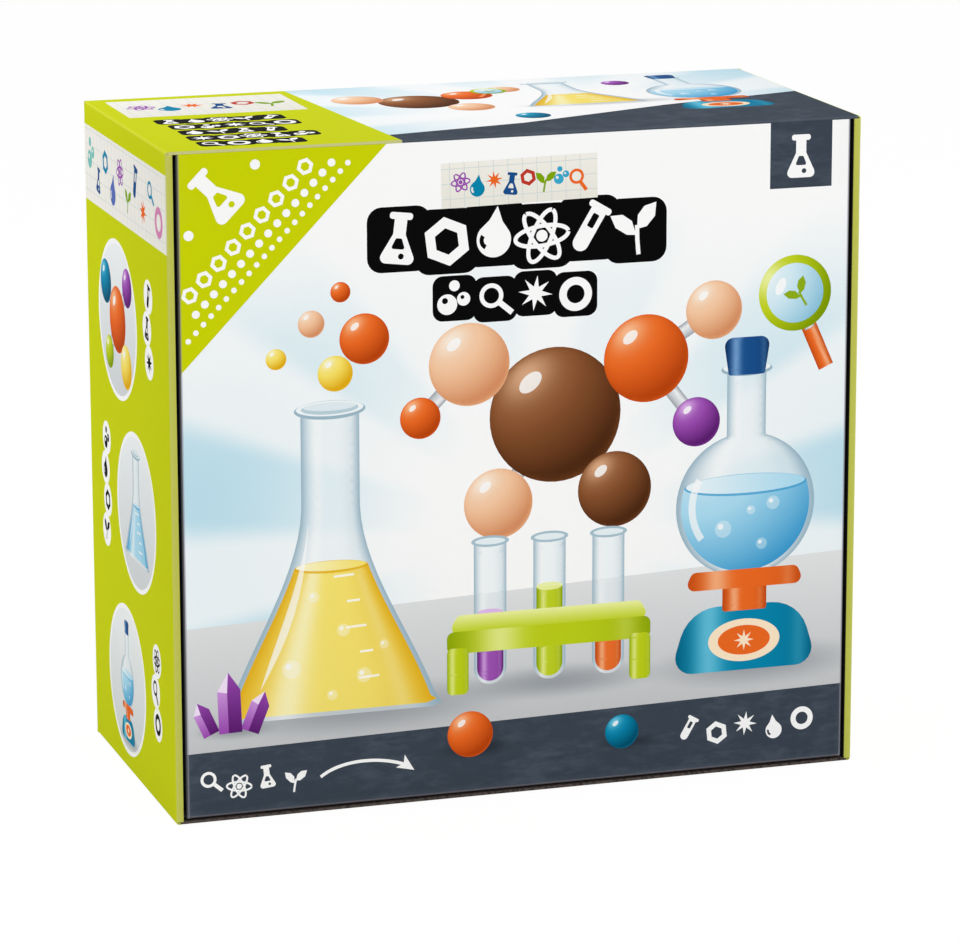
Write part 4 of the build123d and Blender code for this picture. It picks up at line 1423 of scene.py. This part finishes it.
def foot_of(name):
    """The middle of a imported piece's foot."""
    low, high = (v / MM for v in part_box(name))
    return Vector(((low.x + high.x) / 2, (low.y + high.y) / 2, low.z))


def turned_piece(name, corners, radii, material, body, stands_for, spout=None):
    """A piece turned about its own upright axis from a profile of radius and height with rounded corners.

    A spout is a place round the rim, its half width, how far down it starts and how far it pulls out.
    """
    bm = bmesh.new()
    verts = [bm.verts.new((r, 0, z)) for r, z in rounded(corners, radii)]
    edges = [bm.edges.new(pair) for pair in zip(verts, verts[1:])]
    if corners[0][0] > 0:
        edges.append(bm.edges.new((verts[-1], verts[0])))
    bmesh.ops.spin(bm, geom=verts + edges, axis=(0, 0, 1), angle=math.tau, steps=72, use_merge=True)
    bmesh.ops.remove_doubles(bm, verts=bm.verts, dist=0.001)
    bmesh.ops.recalc_face_normals(bm, faces=bm.faces)
    if spout:
        turn, half, drop, pull = spout
        top = max(z for r, z in corners)
        for vert in bm.verts:
            way = Vector((vert.co.x, vert.co.y, 0))
            if way.length and vert.co.z > top - drop:
                off = abs((math.degrees(math.atan2(way.y, way.x)) - turn + 180) % 360 - 180)
                rise = smooth(vert.co.z, top - drop, top)
                vert.co += way.normalized() * pull * rise * rise * (1 - smooth(off, 0, half))
    bmesh.ops.translate(bm, verts=bm.verts, vec=foot_of(stands_for))
    bmesh.ops.scale(bm, verts=bm.verts, vec=(MM, MM, MM))
    for face in bm.faces:
        face.smooth = True
    piece = made_object(name, bm, material)
    piece.data.set_sharp_from_angle(angle=math.radians(32))
    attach(piece, body)
    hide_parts(stands_for)


# The pan's socket takes the stem, and its rim is rounded over.
pan_dish = [(33, 4.5), (36, 6.5), (36, 8.5), (34.4, 8.5), (31.4, 6.5), (0, 6.5)]
turned_piece(
    "pan",
    [(0, 4.5), (6, 4.5), (6, 0), (8, 0), (8, 4.5)] + pan_dish,
    [0, 0, 0.3, 0.6, 1.5, 2.2, 1.0, 0.7, 0.7, 2, 0],
    orange_plastic,
    "pan",
    "weighing_pan",
)

# The spring is one wire wound in five turns.
low, high = (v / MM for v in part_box("press_spring"))
wire, turns, steps_a_turn = 0.8, 5, 24
seat = foot_of("press_spring")
spring_height = high.z - low.z
coil_radius = (high.x - low.x - wire) / 2
rise = (spring_height - wire) / (turns * steps_a_turn)
bm = bmesh.new()
section = bmesh.ops.create_circle(bm, radius=wire / 2, segments=12)["verts"]
bmesh.ops.rotate(bm, verts=section, matrix=Matrix.Rotation(math.pi / 2, 3, "X"))
bmesh.ops.translate(bm, verts=section, vec=seat + Vector((coil_radius, 0, wire / 2)))
bmesh.ops.spin(
    bm,
    geom=section + bm.edges[:],
    cent=seat,
    axis=(0, 0, 1),
    dvec=(0, 0, rise),
    angle=math.tau * turns,
    steps=turns * steps_a_turn,
)
bmesh.ops.holes_fill(bm, edges=[edge for edge in bm.edges if edge.is_boundary], sides=0)
bmesh.ops.recalc_face_normals(bm, faces=bm.faces)
bmesh.ops.scale(bm, verts=bm.verts, vec=(MM, MM, MM))
for face in bm.faces:
    face.smooth = len(face.verts) == 4
spring = made_object("wound_spring", bm, zinc_steel)
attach(spring, "case")
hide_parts("press_spring")
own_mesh(spring)

# The dial is a paper label on its plate: a fan from cream to orange with plain numbers and short ticks. Each
# number is a few pen lines, about one unit high.
low, high = (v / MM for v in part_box("dial_plate"))
low_axle, high_axle = (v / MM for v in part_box("pointer_axle"))
axle_x, axle_z = (low_axle.x + high_axle.x) / 2, (low_axle.z + high_axle.z) / 2
dial_radius = (high.x - low.x) / 2
dial_foot = axle_z - low.z
swing = 43.0
digits = (
    (oval(0, 0, 0.27, 0.5, 0, 2, 358, 30),),
    ([(-0.2, 0.26), (0.05, 0.5)], [(0.05, 0.54), (0.05, -0.54)]),
    (
        [(-0.27, 0.22), (-0.2, 0.41), (0, 0.5), (0.2, 0.42), (0.27, 0.22), (0.18, 0.02), (-0.26, -0.46)],
        [(-0.32, -0.46), (0.32, -0.46)],
    ),
    (
        [(-0.26, 0.38), (-0.08, 0.49), (0.12, 0.47), (0.24, 0.33), (0.2, 0.14), (0, 0.04)],
        [(-0.04, 0.04), (0.18, -0.02), (0.28, -0.2), (0.2, -0.42), (0, -0.5), (-0.28, -0.4)],
    ),
    ([(0.14, -0.54), (0.14, 0.54)], [(0.14, 0.5), (-0.3, -0.14)], [(-0.36, -0.14), (0.36, -0.14)]),
    (
        [(0.3, 0.46), (-0.28, 0.46)],
        [(-0.22, 0.5), (-0.25, 0.04)],
        [(-0.27, 0.06), (0.02, 0.13), (0.24, 0), (0.28, -0.2), (0.2, -0.42), (-0.02, -0.5), (-0.28, -0.4)],
    ),
)
dip = math.degrees(math.asin(dial_foot / dial_radius))
dial_inks = [(oval(0, 0, dial_radius - 0.1, start=-dip + 1, end=180 + dip - 1, steps=60), flat("#F8EFDC"), 0)]
fan = ("#FBDDB8", "#FACB98", "#F8B374", "#F39450", "#EC7430", "#E2561A")
fan_inside, fan_outside = 8.5, 22.2
step = 2 * swing / 5
for i, shade in enumerate(fan):
    end = 90 + swing + step / 2 - step * i
    rim = oval(0, 0, fan_outside, start=end - step, end=end, steps=8)
    fill(dial_inks, rim + oval(0, 0, fan_inside, start=end - step, end=end, steps=5)[::-1], shade)
for i in range(31):
    way = math.radians(90 + swing - 2 * swing * i / 30)
    start, width = (19.9, 0.45) if i % 6 == 0 else (21.0, 0.28)
    tick = [(r * math.cos(way), r * math.sin(way)) for r in (start, fan_outside)]
    fill(dial_inks, stroke(tick, width), "#5B3A24")
digit_place, digit_size = 16.6, 4.0
for i, lines in enumerate(digits):
    turn = swing - step * i
    at = moved([(0, digit_place)], 0, 0, 1, turn)[0]
    for line in lines:
        shade = white if i > 2 else "#7A3E18"
        fill(dial_inks, moved(stroke(line, 0.19), at.x, at.y, digit_size, turn), shade)
axle_hole = 3.0
dial_inks.append((oval(0, 0, axle_hole, steps=24), None, 0))
paper, label_gap = 0.1, 0.12  # the thickness of a label or a cover, and how far it stands off
dial_place = standing((axle_x, low.y - label_gap, axle_z), (1, 0, 0), (0, 0, 1))
dial = printed_sheet("dial_label", dial_inks, [], dial_place, 3.0, thickness=paper)
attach(dial, "case")

# ---- Beakers, tubes and pipette ----
# Thin-walled glasses moulded in clear plastic. The beakers carry white lines for measuring, printed on their
# fronts, and the pipette has a navy squeeze bulb like the navy stopper.

# Clear polystyrene: glassy, with bright gleams and darker edges where one looks along the thin walls. Lamps
# reach through it, as they do through such walls.
clear_plastic, tree, output = new_material("clear moulded polystyrene")
haze = noise_at(tree, 12.0, 2.0)
gloss = add(tree, "ShaderNodeMapRange", {"To Min": 0.01, "To Max": 0.05}, {"Value": haze.outputs[0]})
shader = add(
    tree,
    "ShaderNodeBsdfPrincipled",
    {"Base Color": linear("#FAFDFE"), "Transmission Weight": 1.0, "IOR": 1.45},
    {"Roughness": gloss.outputs[0]},
)
path = add(tree, "ShaderNodeLightPath")
lets = add(tree, "ShaderNodeBsdfTransparent", {"Color": linear("#F6FBFC")})
shadow_ray = path.outputs["Is Shadow Ray"]
lit = add(tree, "ShaderNodeMixShader", {}, {0: shadow_ray, 1: shader.outputs[0], 2: lets.outputs[0]})
tree.links.new(lit.outputs[0], output.inputs["Surface"])
nested_walls = 24  # surfaces that a line of sight crosses in the three nested beakers, and some to spare
bpy.context.scene.cycles.max_bounces = nested_walls
bpy.context.scene.cycles.transmission_bounces = nested_walls
bpy.context.scene.cycles.transparent_max_bounces = nested_walls
dress(clear_plastic, "navy_test_tube", "orange_test_tube", "pipette_tube")

# Stoppers and bulb are soft, so every edge is well rounded.
stopper_profile = [(0, 0), (5.75, 0), (6.75, 2), (6.75, 10), (10.5, 10), (10.5, 11.8), (8, 13.4), (8, 16)]
stopper_profile += [(9.5, 17.6), (8.5, 19), (0, 19)]
for name, material in (("navy", navy_plastic), ("orange", orange_plastic)):
    turned_piece(
        f"{name}_plug_of_tube",
        stopper_profile,
        [0, 0.5, 0.5, 0, 0.7, 0.8, 1.2, 1.2, 0.7, 0.8, 0],
        material,
        f"{name}_plug",
        f"{name}_stopper",
    )
bulb_hollow = [(0, 36.8), (4.5, 36.8), (7.8, 31.4), (7.8, 14.3), (3.5, 8), (3.5, 0)]
turned_piece(
    "squeeze_bulb",
    bulb_hollow + [(5.5, 0), (5.5, 8), (9, 14.3), (9, 32.6), (5.5, 38), (0, 38)],
    [0, 3, 5, 4, 0, 0, 0.8, 5, 7, 7, 4, 0],
    navy_plastic,
    "case",
    "pipette_bulb",
)
turned_piece(
    "pouring_funnel",
    [(32.7, 0), (34, 0), (34, 2.5), (6.2, 34), (4.6, 68), (3.3, 68), (4.9, 32.7), (32.7, 1.85)],
    [0.3, 0.5, 1.2, 6, 0.4, 0.4, 6, 0.5],
    teal_plastic,
    "case",
    "funnel",
)
# Each beaker has the radius of its foot and of its mouth, its height, the place of its lip and its lines.
beakers = (
    ("large", 29, 34, 88, 232, 9),
    ("medium", 22, 27, 70, 226, 7),
    ("small", 15, 20, 52, 238, 5),
)
for name, foot, mouth, tall, turn, count in beakers:
    outside = [(0, 0), (foot, 0), (mouth, tall), (mouth + 1.2, tall), (mouth + 1.2, tall + 1.2)]
    turned_piece(
        f"{name}_cup",
        outside + [(mouth - 1.4, tall + 1.2), (foot - 1.4, 2), (0, 2)],
        [0, 2.4, 0.2, 0.55, 0.55, 0.5, 1.6, 0],
        clear_plastic,
        "case",
        f"{name}_beaker",
        spout=(turn, 26, 10, 2.4),
    )

# Screen-printed measuring lines: opaque white ink that stands on the surface.
mark_ink, tree, output = new_material("white screen ink")
mottle = noise_at(tree, 1.0, 2.0)
tint = add(tree, "ShaderNodeMix", two_shades("#F4F6F7", white), {0: mottle.outputs[0]})
shader = add(tree, "ShaderNodeBsdfPrincipled", {"Roughness": 0.5}, {"Base Color": tint.outputs[2]})
tree.links.new(shader.outputs[0], output.inputs["Surface"])
mark_sink, mark_rise = 0.005, 0.07  # from the beaker's surface to the two faces of the ink
mark_width = 0.8
mark_start = Matrix.Rotation(math.radians(-120), 3, "Z")
for name, foot, mouth, tall, turn, count in beakers:
    centre = foot_of(f"{name}_beaker")
    bm = bmesh.new()
    for i in range(count):
        z = tall * (0.16 + 0.66 * i / (count - 1))
        reach = math.radians(30 if i % 2 == 0 else 18)
        section = []
        for out, rise in ((mark_sink, -0.5), (mark_rise, -0.5), (mark_rise, 0.5), (mark_sink, 0.5)):
            height = z + rise * mark_width
            start = Vector((foot + (mouth - foot) * height / tall + out, 0, height))
            section.append(bm.verts.new((centre + mark_start @ start) * MM))
        edges = [bm.edges.new((vert, section[i - 1])) for i, vert in enumerate(section)]
        bmesh.ops.spin(bm, geom=section + edges, cent=centre * MM, axis=(0, 0, 1), angle=reach, steps=10)
    bmesh.ops.holes_fill(bm, edges=[edge for edge in bm.edges if edge.is_boundary], sides=4)
    bmesh.ops.recalc_face_normals(bm, faces=bm.faces)
    lines = made_object(f"{name}_beaker_lines", bm, mark_ink)
    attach(lines, "case")

# ---- Booklet and cards ----
# A stapled booklet with ten cards in front of it, offset printed on coated paper. Their edges are bare.
coated_paper, tree, output = new_material("coated paper")
cloud = noise_at(tree, 18.0, 2.0)
tint = add(tree, "ShaderNodeMix", two_shades("#F1F0EC", "#FBFBF8"), {0: cloud.outputs[0]})
shader = add(
    tree,
    "ShaderNodeBsdfPrincipled",
    {"Roughness": 0.45, "Specular IOR Level": 0.35},
    {"Base Color": tint.outputs[2]},
)
tree.links.new(shader.outputs[0], output.inputs["Surface"])
dress(coated_paper, "instruction_booklet", "experiment_cards")
for name, piece, frame_colour, art, size in (
    ("booklet_cover", "instruction_booklet", lime, crystals(), 0.8),
    ("card_face", "experiment_cards", "#7CC8E0", magnifier(), 0.72),
):
    low, high = (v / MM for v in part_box(piece))
    wide, tall = high.x - low.x, high.z - low.z
    half = wide / 2
    inks = [(rectangle(-half, half, 0, tall), flat(frame_colour), 0)]
    panel = rounded(rectangle(-half + 3, half - 3, 3, tall - 13), 3)
    inks.append((panel, fade((0, 0), (0, tall), "#E4E8EA", white), 5.0))
    print_group(inks, art, 0, tall * 0.46, size)
    for i, (figure, shade) in enumerate(label_signs[:5]):
        stamp(inks, figure, (i - 2) * 8, tall - 6.5, 6, 0, white, frame_colour)
    for i in range(4):
        line = rectangle(-half + 7, half - 7 - 5 * (i % 2), 8 + 3.4 * i, 9.2 + 3.4 * i)
        fill(inks, line, "#AEB9C2")
    cover_place = standing(((low.x + high.x) / 2, low.y - label_gap, low.z), (1, 0, 0), (0, 0, 1))
    cover = printed_sheet(name, inks, [], cover_place, 6.0, thickness=paper)
    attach(cover, "case")
